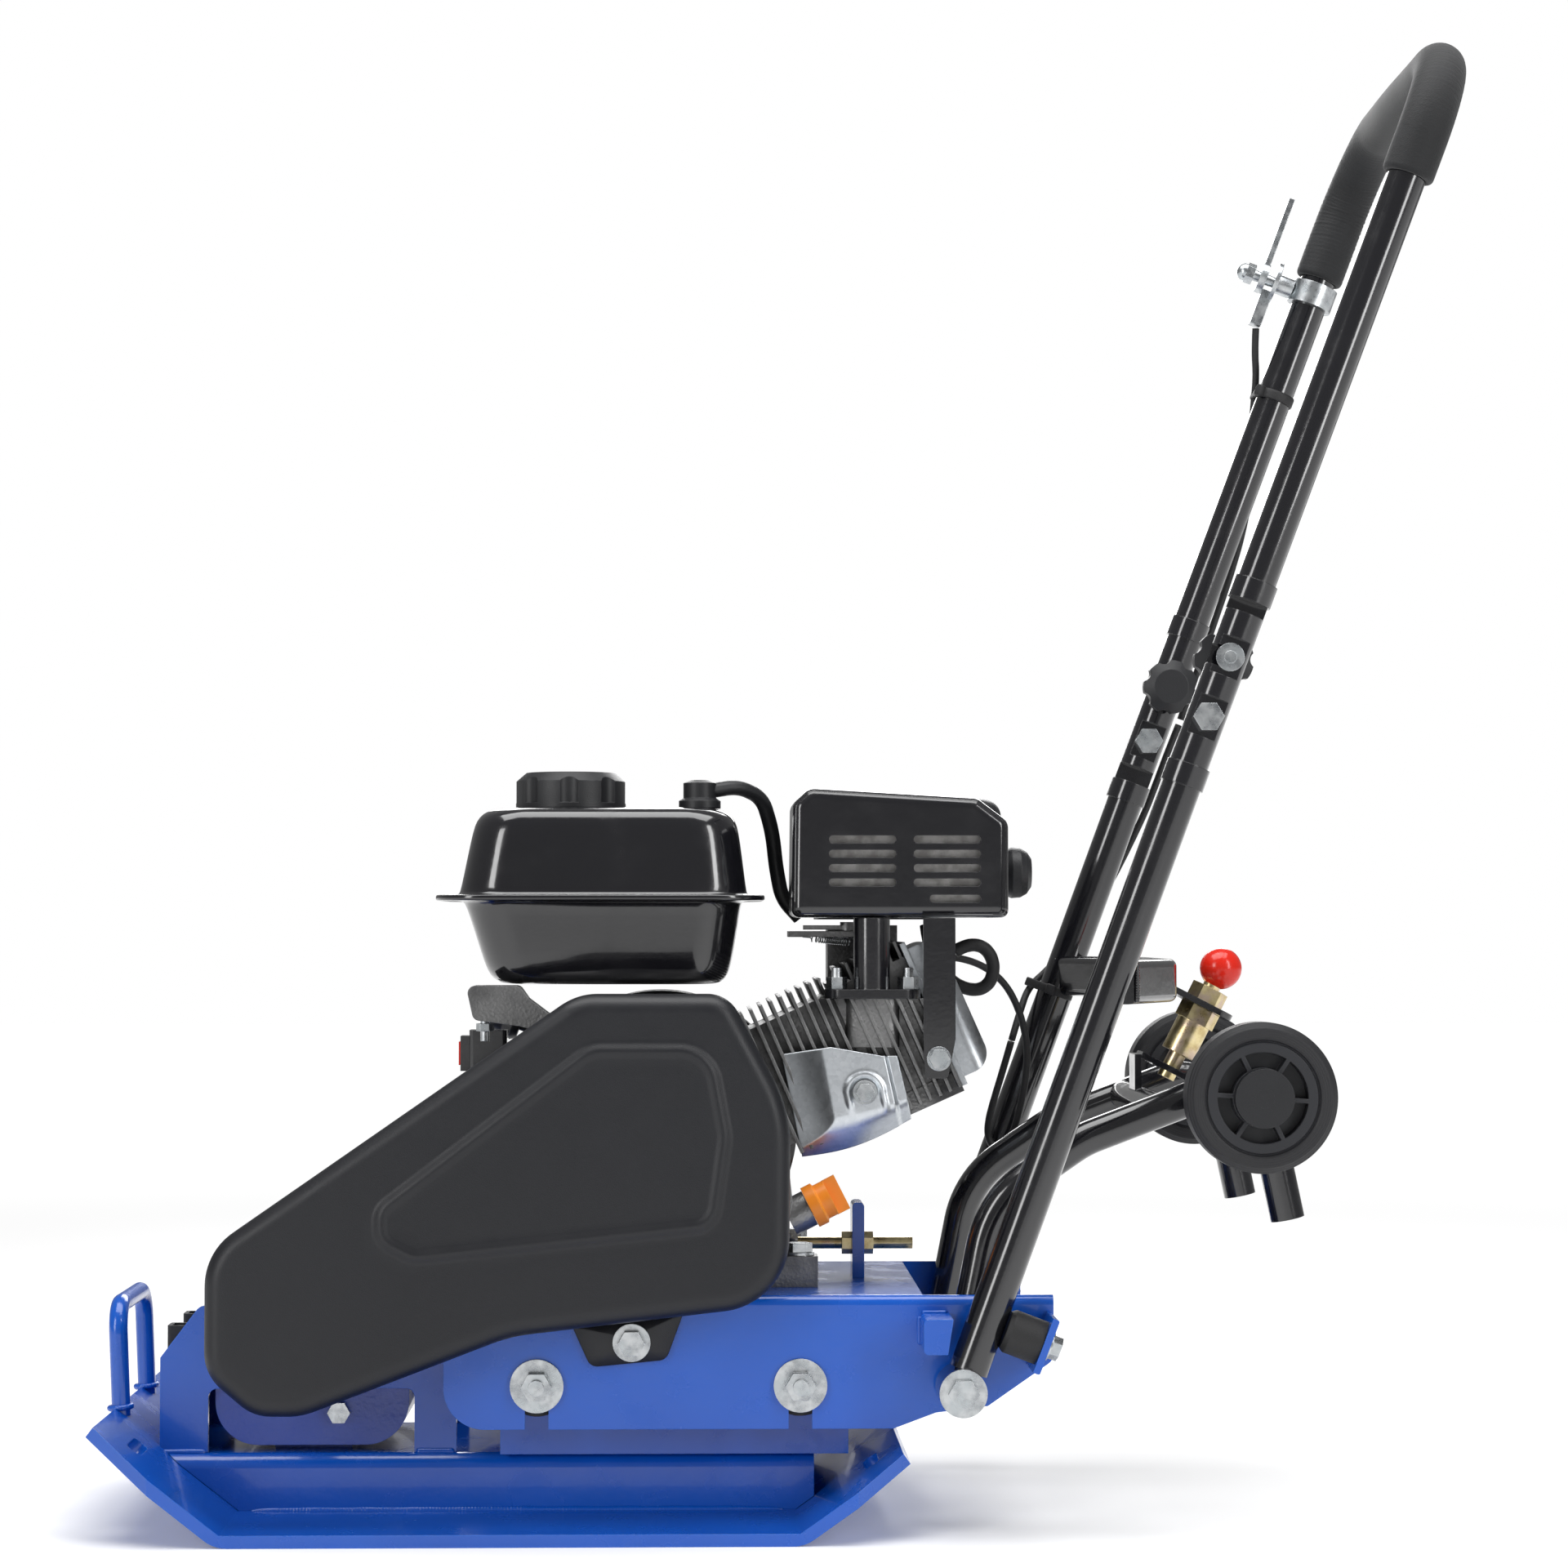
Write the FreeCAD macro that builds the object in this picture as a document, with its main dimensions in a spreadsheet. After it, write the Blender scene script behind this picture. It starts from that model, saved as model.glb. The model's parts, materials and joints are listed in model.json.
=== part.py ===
"""Walk-behind plate compactor, millimetres, +Z up.

The origin is the middle of the flat sole on the ground.  +X points to the rear, where
the handle is, and -Y to the belt-guard side.
"""
import FreeCAD, Part
import math
import os
import re

import Sketcher
from FreeCAD import Placement, Rotation, Vector

DIMENSIONS = {
    # base plate
    "plate_width": 360, "plate_thick": 8, "sole_front": -173, "sole_rear": 191,
    "front_lip_angle": 38, "front_lip_length": 106, "rear_lip_angle": 35,
    "rear_lip_length": 82, "lip_chamfer": 26, "slot_width": 11,
    "stiff_half": 81, "stiff_top": 44, "stiff_wall": 6, "stiff_rear": 200,
    # exciter
    "shaft_x": -127, "shaft_z": 119, "shaft_radius": 12.5, "housing_half": 66.5,
    "housing_radius": 54, "bearing_radius": 31, "weight_radius": 38,
    "bracket_half": 72, "bracket_thick": 5,
    # rubber mounts and deck
    "mount_front": 23, "mount_rear": 190, "mount_z": 92.5, "rail_half": 85,
    "rubber_radius": 20, "deck_half": 124, "deck_thick": 5, "deck_top": 149,
    "deck_front": -36, "deck_low": 65, "deck_back": 351, "deck_cut": 268,
    # belt drive
    "crank_x": 99, "crank_z": 245, "belt_plane": 146, "drive_pitch": 40,
    "driven_pitch": 32, "belt_width": 12, "belt_depth": 8, "pulley_half": 10,
    "guard_back": 127, "guard_face": 165, "guard_wall": 2.5,
    # engine
    "lean": 24, "block_front": -98, "block_rear": 70,
    "tank_mid": 20, "tank_half": 90, "muffler_face": -62,
    # handle
    "pivot_x": 290, "pivot_z": 93, "pivot_radius": 8, "handle_half": 155,
    "tube_radius": 12.5, "tube_wall": 2, "fold_x": 445.5, "fold_z": 515,
    "knob_reach": 40.3, "bar_reach": 456, "bar_corner": 62, "grip_radius": 17,
    "grip_start": 368,
    # wheels
    "leg_half": 105, "leg_radius": 11, "axle_x": 478, "axle_z": 276, "axle_radius": 6,
    "wheel_radius": 47.4, "wheel_mid": 160, "wheel_width": 28,
    # latch plunger
    "ball_x": 476, "ball_z": 355, "plunger_lean": 27.2, "ball_radius": 14,
    # throttle cable
    "cable_radius": 2.5,
}

doc = FreeCAD.newDocument("plate_compactor")
sheet = doc.addObject("Spreadsheet::Sheet", "Dims")
for row, (alias, value) in enumerate(DIMENSIONS.items(), 1):
    sheet.set("A%d" % row, alias)
    sheet.set("B%d" % row, str(value))
    sheet.setAlias("B%d" % row, alias)
doc.recompute()

NODES = {}
GROUPS = {}
WORD = re.compile(r"[a-z][a-z_]*[a-z]")
X = Vector(1, 0, 0)
Y = Vector(0, 1, 0)
Z = Vector(0, 0, 1)


class Sizes:
    """Reads the sheet's cells by their aliases."""

    def __getattr__(self, alias):
        return float(sheet.get(alias))


d = Sizes()


def linked(text):
    """An expression on bare aliases, written as one on the sheet's cells."""
    return WORD.sub(lambda m: "Dims." + m[0] if m[0] in DIMENSIONS else m[0], text)


def number(value):
    """The present value of a number or of an expression on aliases."""
    if isinstance(value, str):
        return float(sheet.evalExpression(linked(value)))
    return float(value)


def bind(thing, field, value):
    """Gives a property a number, or ties it to the sheet with an expression."""
    if isinstance(value, str):
        thing.setExpression(field, linked(value))
    elif "." not in field:
        setattr(thing, field, value)


def turned(direction):
    """The turn that carries +Z onto a direction."""
    return Rotation(Z, Vector(direction))


def place(thing, at, turn=Rotation()):
    """Puts an object at a point whose coordinates may be expressions."""
    thing.Placement = Placement(Vector(*[number(v) for v in at]), turn)
    for letter, value in zip("xyz", at):
        bind(thing, "Placement.Base." + letter, value)
    return thing


def node(label, thing):
    """Names a finished sub-part."""
    thing.Label = label
    NODES[label] = thing
    return thing


def share(label, thing):
    """Adds a separate solid to a sub-part that holds several of them."""
    GROUPS.setdefault(label, []).append(thing)
    return thing


def start_body(name):
    return doc.addObject("PartDesign::Body", name)


def sketch_on(body, role, offset=0):
    """A sketch on one of the body's own origin planes, moved along its normal."""
    plane = [o for o in body.Origin.OriginFeatures if o.Role == role + "_Plane"][0]
    sketch = body.newObject("Sketcher::SketchObject", body.Name + "_sketch")
    sketch.AttachmentSupport = [(plane, "")]
    sketch.MapMode = "FlatFace"
    sketch.AttachmentOffset = Placement(Vector(0, 0, number(offset)), Rotation())
    bind(sketch, "AttachmentOffset.Base.z", offset)
    return sketch


def outline(sketch, points):
    """A closed outline of straight lines with each corner's place dimensioned."""
    spots = [Vector(number(a), number(b), 0) for a, b in points]
    first = sketch.GeometryCount
    for i, spot in enumerate(spots):
        sketch.addGeometry(Part.LineSegment(spot, spots[(i + 1) % len(spots)]), False)
    rules = []
    for i in range(len(spots)):
        after = first + (i + 1) % len(spots)
        rules.append(Sketcher.Constraint("Coincident", first + i, 2, after, 1))
    sketch.addConstraint(rules)
    for i, (point, spot) in enumerate(zip(points, spots)):
        for kind, value, now in (("DistanceX", point[0], spot.x),
                                 ("DistanceY", point[1], spot.y)):
            rule = Sketcher.Constraint(kind, -1, 1, first + i, 1, now)
            index = sketch.addConstraint(rule)
            if isinstance(value, str):
                sketch.setExpression("Constraints[%d]" % index, linked(value))


def hole_circle(sketch, at, radius):
    """A circle with its centre and radius dimensioned."""
    centre = Vector(number(at[0]), number(at[1]), 0)
    index = sketch.addGeometry(Part.Circle(centre, Z, number(radius)), False)
    for kind, value, now in (("DistanceX", at[0], centre.x), ("DistanceY", at[1], centre.y)):
        rule = sketch.addConstraint(Sketcher.Constraint(kind, -1, 1, index, 3, now))
        if isinstance(value, str):
            sketch.setExpression("Constraints[%d]" % rule, linked(value))
    rule = sketch.addConstraint(Sketcher.Constraint("Radius", index, number(radius)))
    if isinstance(radius, str):
        sketch.setExpression("Constraints[%d]" % rule, linked(radius))


def pad(body, sketch, length, middle=False):
    feature = body.newObject("PartDesign::Pad", body.Name + "_pad")
    feature.Profile = sketch
    if middle:
        feature.Midplane = True
    bind(feature, "Length", length)
    if not isinstance(length, str):
        feature.Length = length
    return feature


def pocket(body, sketch, length, middle=False, backwards=False):
    feature = body.newObject("PartDesign::Pocket", body.Name + "_pocket")
    feature.Profile = sketch
    feature.Midplane = middle
    feature.Reversed = backwards
    bind(feature, "Length", length)
    return feature


def round_edges(body, radius, picks):
    """Fillets the edges of the body's tip for which picks says yes."""
    doc.recompute()
    tip = body.Tip
    names = ["Edge%d" % (i + 1) for i, edge in enumerate(tip.Shape.Edges) if picks(edge)]
    feature = body.newObject("PartDesign::Fillet", body.Name + "_fillet")
    feature.Base = (tip, names)
    bind(feature, "Radius", radius)
    return feature


def middle_of(edge):
    return edge.valueAt(0.5 * (edge.FirstParameter + edge.LastParameter))


def is_along(edge, axis):
    """Whether an edge is straight and runs along an axis."""
    ends = edge.Vertexes
    if edge.Curve.TypeId != "Part::GeomLine" or len(ends) < 2:
        return False
    run = ends[1].Point - ends[0].Point
    return run.cross(axis).Length < 1e-6 * run.Length


NORMALS = {"XY": Z, "XZ": -Y, "YZ": X}


def prism(name, role, points, start, length, middle=False, corners=None, holes=()):
    """A pad of an outline, with some of its corners rounded.

    corners maps a radius to the outline's corners that have it, by their numbers.
    """
    body = start_body(name)
    sketch = sketch_on(body, role, start)
    outline(sketch, points)
    for at, radius in holes:
        hole_circle(sketch, at, radius)
    pad(body, sketch, length, middle)
    flat = [Vector(number(a), number(b), 0) for a, b in points]
    drop = {"XY": lambda p: Vector(p.x, p.y, 0), "XZ": lambda p: Vector(p.x, p.z, 0),
            "YZ": lambda p: Vector(p.y, p.z, 0)}[role]
    for radius, which in (corners or {}).items():
        chosen = [flat[i] for i in which]

        def picks(edge):
            if not is_along(edge, NORMALS[role]):
                return False
            spot = drop(edge.Vertexes[0].Point)
            return any((spot - corner).Length < 0.01 for corner in chosen)

        round_edges(body, radius, picks)
    return body


def turned_part(name, profile, at, axis=Z):
    """A revolution of (radius, height) points about an axis through a point."""
    body = start_body(name)
    sketch = sketch_on(body, "XZ")
    outline(sketch, profile)
    feature = body.newObject("PartDesign::Revolution", name + "_turn")
    feature.Profile = sketch
    feature.ReferenceAxis = (sketch, ["V_Axis"])
    feature.Angle = 360
    return place(body, at, turned(axis))


def cylinder(name, at, axis, radius, length):
    thing = doc.addObject("Part::Cylinder", name)
    thing.Radius = number(radius)
    thing.Height = number(length)
    bind(thing, "Radius", radius)
    bind(thing, "Height", length)
    return place(thing, at, turned(axis))


def block(name, low, high, radius=0):
    """A box between two corners, its corners seen from above rounded if asked."""
    thing = doc.addObject("Part::Box", name)
    for field, a, b in zip(("Length", "Width", "Height"), low, high):
        setattr(thing, field, number(b) - number(a))
        if isinstance(a, str) or isinstance(b, str):
            bind(thing, field, "(%s) - (%s)" % (b, a))
    place(thing, low)
    return rounded(name + "_round", thing, radius, Z) if radius else thing


def rounded(name, thing, radius, axis=None, picks=None):
    """A Part fillet of the edges along an axis, or of those that picks names."""
    doc.recompute()
    chosen = picks or (lambda edge: axis is None or is_along(edge, axis))
    feature = doc.addObject("Part::Fillet", name)
    feature.Base = thing
    feature.Edges = [(i + 1, radius, radius)
                     for i, edge in enumerate(thing.Shape.Edges) if chosen(edge)]
    return feature


def fused(name, *things):
    feature = doc.addObject("Part::MultiFuse", name)
    feature.Shapes = list(things)
    return feature


def cut(name, thing, *tools):
    feature = doc.addObject("Part::Cut", name)
    feature.Base = thing
    feature.Tool = tools[0] if len(tools) == 1 else fused(name + "_tools", *tools)
    return feature


def group(name, *things):
    """Separate solids kept together as one sub-part."""
    feature = doc.addObject("Part::Compound", name)
    feature.Links = list(things)
    return feature


def mirrored(name, thing):
    """The same piece on the other side of the machine."""
    feature = doc.addObject("Part::Mirroring", name)
    feature.Source = thing
    feature.Normal = Y
    return feature


def both_sides(name, thing):
    return group(name, thing, mirrored(name + "_far", thing))


def path_edges(points, radii):
    """Straight runs joined by tangent arcs at the inner points."""
    spots = [Vector(*[number(v) for v in p]) for p in points]
    edges = []
    here = spots[0]
    for before, corner, after, radius in zip(spots, spots[1:], spots[2:], radii):
        inward = (before - corner).normalize()
        outward = (after - corner).normalize()
        half = 0.5 * (math.pi - inward.getAngle(outward))
        reach = radius * math.tan(half)
        first = corner + inward * reach
        last = corner + outward * reach
        bisector = (inward + outward).normalize()
        peak = corner + bisector * (radius / math.cos(half) - radius)
        if (first - here).Length > 1e-6:
            edges.append(Part.LineSegment(here, first).toShape())
        edges.append(Part.Arc(first, peak, last).toShape())
        here = last
    edges.append(Part.LineSegment(here, spots[-1]).toShape())
    return edges


def even_radii(points, share=0.45):
    """Bend radii that use the same share of the shorter run at each point."""
    spots = [Vector(*[number(v) for v in p]) for p in points]
    radii = []
    for before, corner, after in zip(spots, spots[1:], spots[2:]):
        turn = math.pi - (before - corner).getAngle(after - corner)
        shorter = min((before - corner).Length, (after - corner).Length)
        radii.append(share * shorter / math.tan(0.5 * turn))
    return radii


def swept(name, points, radii, radius):
    """A round rod carried along a path of runs and arcs."""
    edges = path_edges(points, radii)
    path = doc.addObject("Part::Feature", name + "_path")
    path.Shape = Part.Wire(edges)
    ring = doc.addObject("Part::Circle", name + "_ring")
    ring.Radius = number(radius)
    bind(ring, "Radius", radius)
    place(ring, points[0], turned(edges[0].tangentAt(edges[0].FirstParameter)))
    feature = doc.addObject("Part::Sweep", name)
    feature.Sections = [ring]
    feature.Spine = (path, ["Edge%d" % (i + 1) for i in range(len(edges))])
    feature.Solid = True
    feature.Frenet = False
    return feature


def pipe(name, points, radii, radius, wall):
    """A hollow tube along a path."""
    outer = swept(name + "_outer", points, radii, radius)
    inner = swept(name + "_inner", points, radii, "(%s) - (%s)" % (radius, wall))
    return cut(name, outer, inner)


def hexagon(name, at, axis, across, length):
    """A hexagonal prism, across its flats, along an axis."""
    thing = doc.addObject("Part::Prism", name)
    thing.Polygon = 6
    thing.Circumradius = across / math.sqrt(3)
    thing.Height = length
    return place(thing, at, turned(axis))


def shifted(at, axis, distance):
    """A point's coordinates moved along a direction, kept as expressions."""
    step = Vector(axis).normalize() * distance
    moved = []
    for value, change in zip(at, (step.x, step.y, step.z)):
        if isinstance(value, str):
            moved.append(value if abs(change) < 1e-9 else "%s + (%.9g)" % (value, change))
        else:
            moved.append(value + change)
    return tuple(moved)


def bolt(name, at, axis, shank, across, head, length, washer=0):
    """A hex bolt whose head (and washer) sits on the point and stands along the axis."""
    parts = [cylinder(name + "_shank", shifted(at, axis, -length), axis, shank, length)]
    seat = at
    if washer:
        parts.append(cylinder(name + "_washer", at, axis, washer, 2))
        seat = shifted(at, axis, 2)
    parts.append(hexagon(name + "_head", seat, axis, across, head))
    return fused(name, *parts)


def drill(name, thing, *holes):
    """Bores round holes given as (point, axis, radius, length)."""
    tools = [cylinder("%s_bore%d" % (name, i), *hole) for i, hole in enumerate(holes)]
    return cut(name, thing, *tools)


# ---------------------------------------------------------------- base and exciter

def base_plate():
    """The flat sole with its two upturned lips, bent from one thick plate."""
    half = "plate_width / 2"
    front_x = "sole_front - front_lip_length * cos(front_lip_angle)"
    front_z = "front_lip_length * sin(front_lip_angle)"
    rear_x = "sole_rear + rear_lip_length * cos(rear_lip_angle)"
    rear_z = "rear_lip_length * sin(rear_lip_angle)"
    profile = [
        ("sole_front", 0), ("sole_rear", 0), (rear_x, rear_z),
        (rear_x + " - plate_thick * sin(rear_lip_angle)",
         rear_z + " + plate_thick * cos(rear_lip_angle)"),
        ("sole_rear - plate_thick * tan(rear_lip_angle / 2)", "plate_thick"),
        ("sole_front + plate_thick * tan(front_lip_angle / 2)", "plate_thick"),
        (front_x + " + plate_thick * sin(front_lip_angle)",
         front_z + " + plate_thick * cos(front_lip_angle)"),
        (front_x, front_z),
    ]
    body = prism("base_plate_blank", "XZ", profile, 0, "plate_width", middle=True)
    round_edges(body, 24, lambda e: is_along(e, Y) and middle_of(e).z < 0.01)
    corner = sketch_on(body, "XY")
    for side in (1, -1):
        for x, inward in ((front_x, "lip_chamfer * 1.6"), (rear_x, "-lip_chamfer * 1.3")):
            tip = "(%s) * %d" % (half, side)
            outline(corner, [(x, tip), ("%s + %s" % (x, inward), tip),
                             (x, "%s - lip_chamfer * %d" % (tip, side))])
    pocket(body, corner, 200, middle=True)
    tools = []
    for end, angle, low, reach in (("sole_front", "front", -1, 78), ("sole_rear", "rear", 1, 60)):
        for i, y in enumerate((-118, 118) if end == "sole_front" else (-100, 100)):
            tools.append(lip_slot("%s_slot%d" % (angle, i), end, low, reach, y))
    return node("base_plate", cut("base_plate_slotted", body, *tools))


def lip_slot(name, end, sense, reach, y):
    """A long slot across a lip, square to its surface."""
    angle = math.radians(d.front_lip_angle if sense < 0 else d.rear_lip_angle)
    x = number(end) + sense * reach * math.cos(angle)
    z = reach * math.sin(angle)
    normal = Vector(-sense * math.sin(angle), 0, math.cos(angle))
    ends = []
    for i, step in enumerate((-13, 13)):
        at = (x - 10 * normal.x, y + step, z - 10 * normal.z)
        ends.append(cylinder("%s_end%d" % (name, i), at, normal, "slot_width / 2", 30))
    web = doc.addObject("Part::Box", name + "_web")
    web.Length = d.slot_width
    web.Width = 26
    web.Height = 30
    turn = Rotation(Y, -sense * math.degrees(angle))
    corner = turn.multVec(Vector(-d.slot_width / 2, -13, -10))
    web.Placement = Placement(Vector(x, y, z) + corner, turn)
    return fused(name, web, *ends)


def plate_stiffener():
    """The raised hat-section platform welded along the middle of the plate."""
    lip = math.tan(math.radians(d.front_lip_angle))
    foot = d.sole_front + d.plate_thick * math.tan(math.radians(d.front_lip_angle / 2)) + 0.4
    top = foot - (d.stiff_top - d.plate_thick) / lip
    rear = math.tan(math.radians(d.rear_lip_angle))
    rear_foot = d.sole_rear - d.plate_thick * math.tan(math.radians(d.rear_lip_angle / 2)) - 0.4
    heel = d.plate_thick + (d.stiff_rear - rear_foot) * rear
    body = prism("stiffener_blank", "XZ", [
        (foot, "plate_thick"), (rear_foot, "plate_thick"), ("stiff_rear", heel),
        ("stiff_rear", "stiff_top"), (top, "stiff_top")], 0, "stiff_half * 2", middle=True)
    round_edges(body, 9, lambda e: middle_of(e).z > d.stiff_top - 0.01 and is_along(e, X))
    inner = sketch_on(body, "YZ", -300)
    half = "stiff_half - stiff_wall"
    outline(inner, [("-(%s)" % half, -1), (half, -1), (half, "stiff_top - stiff_wall"),
                    ("-(%s)" % half, "stiff_top - stiff_wall")])
    pocket(body, inner, 600, backwards=True)
    return node("plate_stiffener", body)


def lifting_loop():
    """The round bar bent to a loop at the front lip, for lifting the machine."""
    y = 57
    points = [(-249, -y, 66), (-252, -y, 137), (-252, y, 137), (-249, y, 66)]
    return node("lifting_loop", swept("loop_bar", points, [18, 18], 6))


def exciter_bracket():
    """Two legged side plates and a front cross plate that carry the exciter's ends."""
    side = prism("bracket_side", "XZ", [
        (-222, "stiff_top"), (-191, "stiff_top"), (-191, 85), (-58, 85), (-58, "stiff_top"),
        (-31, "stiff_top"), (-31, 104), (-171, 104), (-184, 138), (-197, 138), (-222, 105)],
        "bracket_half - bracket_thick", "bracket_thick", corners={6: [2, 3, 8, 9]})
    cross = block("bracket_cross", (-222, "bracket_thick - bracket_half", 99),
                  (-191, "bracket_half - bracket_thick", 105))
    web = block("bracket_web", (-222, "bracket_thick - bracket_half", "stiff_top"),
                (-217, "bracket_half - bracket_thick", 99))
    parts = fused("bracket_parts", side, mirrored("bracket_side_far", side), cross, web)
    return node("exciter_bracket", parts)


def front_posts():
    """Two short square tubes that stand on the front cross plate."""
    posts = []
    for i, y in enumerate((-37.5, 37.5)):
        outer = block("post%d_outer" % i, (-221, y - 10, 105), (-201, y + 10, 123))
        inner = block("post%d_inner" % i, (-218.5, y - 7.5, 108), (-203.5, y + 7.5, 124))
        posts.append(cut("post%d" % i, rounded("post%d_soft" % i, outer, 2, Z), inner))
    return node("front_posts", group("front_post_pair", *posts))


def exciter_housing():
    """The cast housing: a round barrel over a flat-bottomed oil sump."""
    barrel = cylinder("housing_barrel", ("shaft_x", "-housing_half", "shaft_z"), Y,
                      "housing_radius", "housing_half * 2")
    sump = prism("housing_sump", "XZ", [(-187, 100), (-187, 48), (-62, 48), (-62, 100)],
                 0, "housing_half * 2", middle=True, corners={28: [1, 2]})
    pedestal = block("housing_pedestal", (-150, -50, "stiff_top"), (-100, 50, 52))
    shell = fused("housing_solid", barrel, sump, pedestal)
    bores = [(("shaft_x", -40.5, "shaft_z"), Y, "weight_radius + 3", 81),
             (("shaft_x", -58.5, "shaft_z"), Y, "bearing_radius", 117),
             (("shaft_x", -66.6, "shaft_z"), Y, 44, 8.1),
             (("shaft_x", 58.5, "shaft_z"), Y, 44, 8.1),
             ((-107, -66.6, 69), Y, 5, 10)]
    return node("exciter_housing", drill("housing_bored", shell, *bores))


def exciter_inside():
    """Bearings, end caps and oil plug, and the turning shaft with its weight."""
    bearing = turned_part("bearing", [
        ("shaft_radius", -8.5), ("bearing_radius", -8.5), ("bearing_radius", 8.5),
        ("shaft_radius", 8.5)], ("shaft_x", -49.5, "shaft_z"), Y)
    share("exciter_bearings", both_sides("bearing_pair", bearing))
    near = drill("cap_near", cylinder("cap_near_disc", ("shaft_x", -66.5, "shaft_z"), Y, 44, 8),
                 (("shaft_x", -67, "shaft_z"), Y, "shaft_radius + 0.6", 10))
    far = cylinder("cap_far", ("shaft_x", 58.5, "shaft_z"), Y, 44, 8)
    share("exciter_bearings", group("cap_pair", near, far))
    plug = bolt("plug_bolt", (-107, -66.5, 69), -Y, 5, 13, 6, 9)
    share("deck_fasteners", plug)
    shaft = cylinder("exciter_rod", ("shaft_x", -158, "shaft_z"), Y, "shaft_radius - 0.04", 215.9)
    disc = cylinder("weight_disc", ("shaft_x", -38, "shaft_z"), Y, "weight_radius", 76)
    upper = block("weight_relief", ("shaft_x - 60", -40, "shaft_z"),
                  ("shaft_x + 60", 40, "shaft_z + 60"))
    weight = cut("weight_half", disc, upper)
    share("exciter_shaft", fused("exciter_rotor", shaft, weight))


def grooved_pulley(name, axis_x, axis_z, pitch, bore, flange=4):
    """A belt pulley: two flanges beside a groove that the belt runs in."""
    root = "%s - belt_depth / 2 - 1" % pitch
    rim = "%s + %g" % (pitch, flange)
    gap = "belt_width / 2 + 0.8"
    return turned_part(name, [
        (bore, "-pulley_half"), (rim, "-pulley_half"), (rim, "-(%s)" % gap),
        (root, "-(%s)" % gap), (root, gap), (rim, gap), (rim, "pulley_half"),
        (bore, "pulley_half")], (axis_x, "-belt_plane", axis_z), Y)


def belt_drive():
    """Centrifugal clutch on the crankshaft, driven pulley, and the belt round both."""
    share("exciter_shaft", grooved_pulley("driven_pulley", "shaft_x", "shaft_z",
                                          "driven_pitch", "shaft_radius"))
    groove = grooved_pulley("clutch_pulley", "crank_x", "crank_z", "drive_pitch", 12)
    drum = turned_part("clutch_drum", [
        (12, 0), (50, 0), (50, 28), (46, 28), (46, 3), (12, 3)],
        ("crank_x", "-belt_plane + pulley_half", "crank_z"), Y)
    node("clutch_drum", fused("clutch_body", groove, drum))
    hub = turned_part("shoe_hub", [(12, 4), (26, 4), (26, 24), (12, 24)],
                      ("crank_x", "-belt_plane + pulley_half", "crank_z"), Y)
    shoes = []
    for i in range(2):
        ring = turned_part("shoe_ring%d" % i, [(27, 5), (44, 5), (44, 23), (27, 23)],
                           ("crank_x", "-belt_plane + pulley_half", "crank_z"), Y)
        side = 1 - 2 * i
        half = block("shoe_space%d" % i, ("crank_x - 60", -140, "crank_z + 2" if i == 0
                                          else "crank_z - 60"),
                     ("crank_x + 60", -100, "crank_z + 60" if i == 0 else "crank_z - 2"))
        common = doc.addObject("Part::Common", "shoe%d" % side)
        common.Base = ring
        common.Tool = half
        shoes.append(common)
    share("crankshaft", group("clutch_inside", hub, *shoes))
    outer = belt_loop("belt_outside", "belt_depth / 2", "belt_width")
    inner = belt_loop("belt_inside", "-belt_depth / 2", "belt_width + 2")
    node("drive_belt", cut("belt_ring", outer, inner))


def belt_loop(name, grow, width):
    """A solid whose outline is the two pulleys' circles and their outer tangents."""
    start = Vector(d.shaft_x, 0, d.shaft_z)
    end = Vector(d.crank_x, 0, d.crank_z)
    small = d.driven_pitch + number(grow)
    large = d.drive_pitch + number(grow)
    along = end - start
    angle = math.atan2(along.z, along.x)
    tilt = math.acos((small - large) / along.Length)
    points = []
    for centre, radius in ((start, small), (end, large)):
        for side in (1, -1):
            way = angle + side * tilt
            points.append(centre + Vector(math.cos(way), 0, math.sin(way)) * radius)
    near_top, near_low, far_top, far_low = points
    back = start - Vector(math.cos(angle), 0, math.sin(angle)) * small
    front = end + Vector(math.cos(angle), 0, math.sin(angle)) * large
    wire = Part.Wire([Part.LineSegment(near_top, far_top).toShape(),
                      Part.Arc(far_top, front, far_low).toShape(),
                      Part.LineSegment(far_low, near_low).toShape(),
                      Part.Arc(near_low, back, near_top).toShape()])
    feature = doc.addObject("Part::Feature", name)
    shape = Part.Face(wire).extrude(Vector(0, number(width), 0))
    feature.Shape = shape
    feature.Placement = Placement(Vector(0, -d.belt_plane - number(width) / 2, 0), Rotation())
    return feature


# ---------------------------------------------------------------- mounts and deck

def mount_rails():
    """The two upright rails on the platform that the rubber mounts bolt to."""
    rail = prism("rail_side", "XZ", [(-2, "stiff_top"), (222, "stiff_top"), (222, 92),
                                     (212, 116), (4, 116), (-2, 110)],
                 "rail_half - 5", 5,
                 holes=[(("mount_front", "mount_z"), 5.2), (("mount_rear", "mount_z"), 5.2)])
    foot = block("rail_foot", (2, "-rail_half + 5", "stiff_top"), (218, "-rail_half + 33", 49))
    side = fused("rail", rail, foot)
    return node("mount_rails", both_sides("rail_pair", side))


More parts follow.
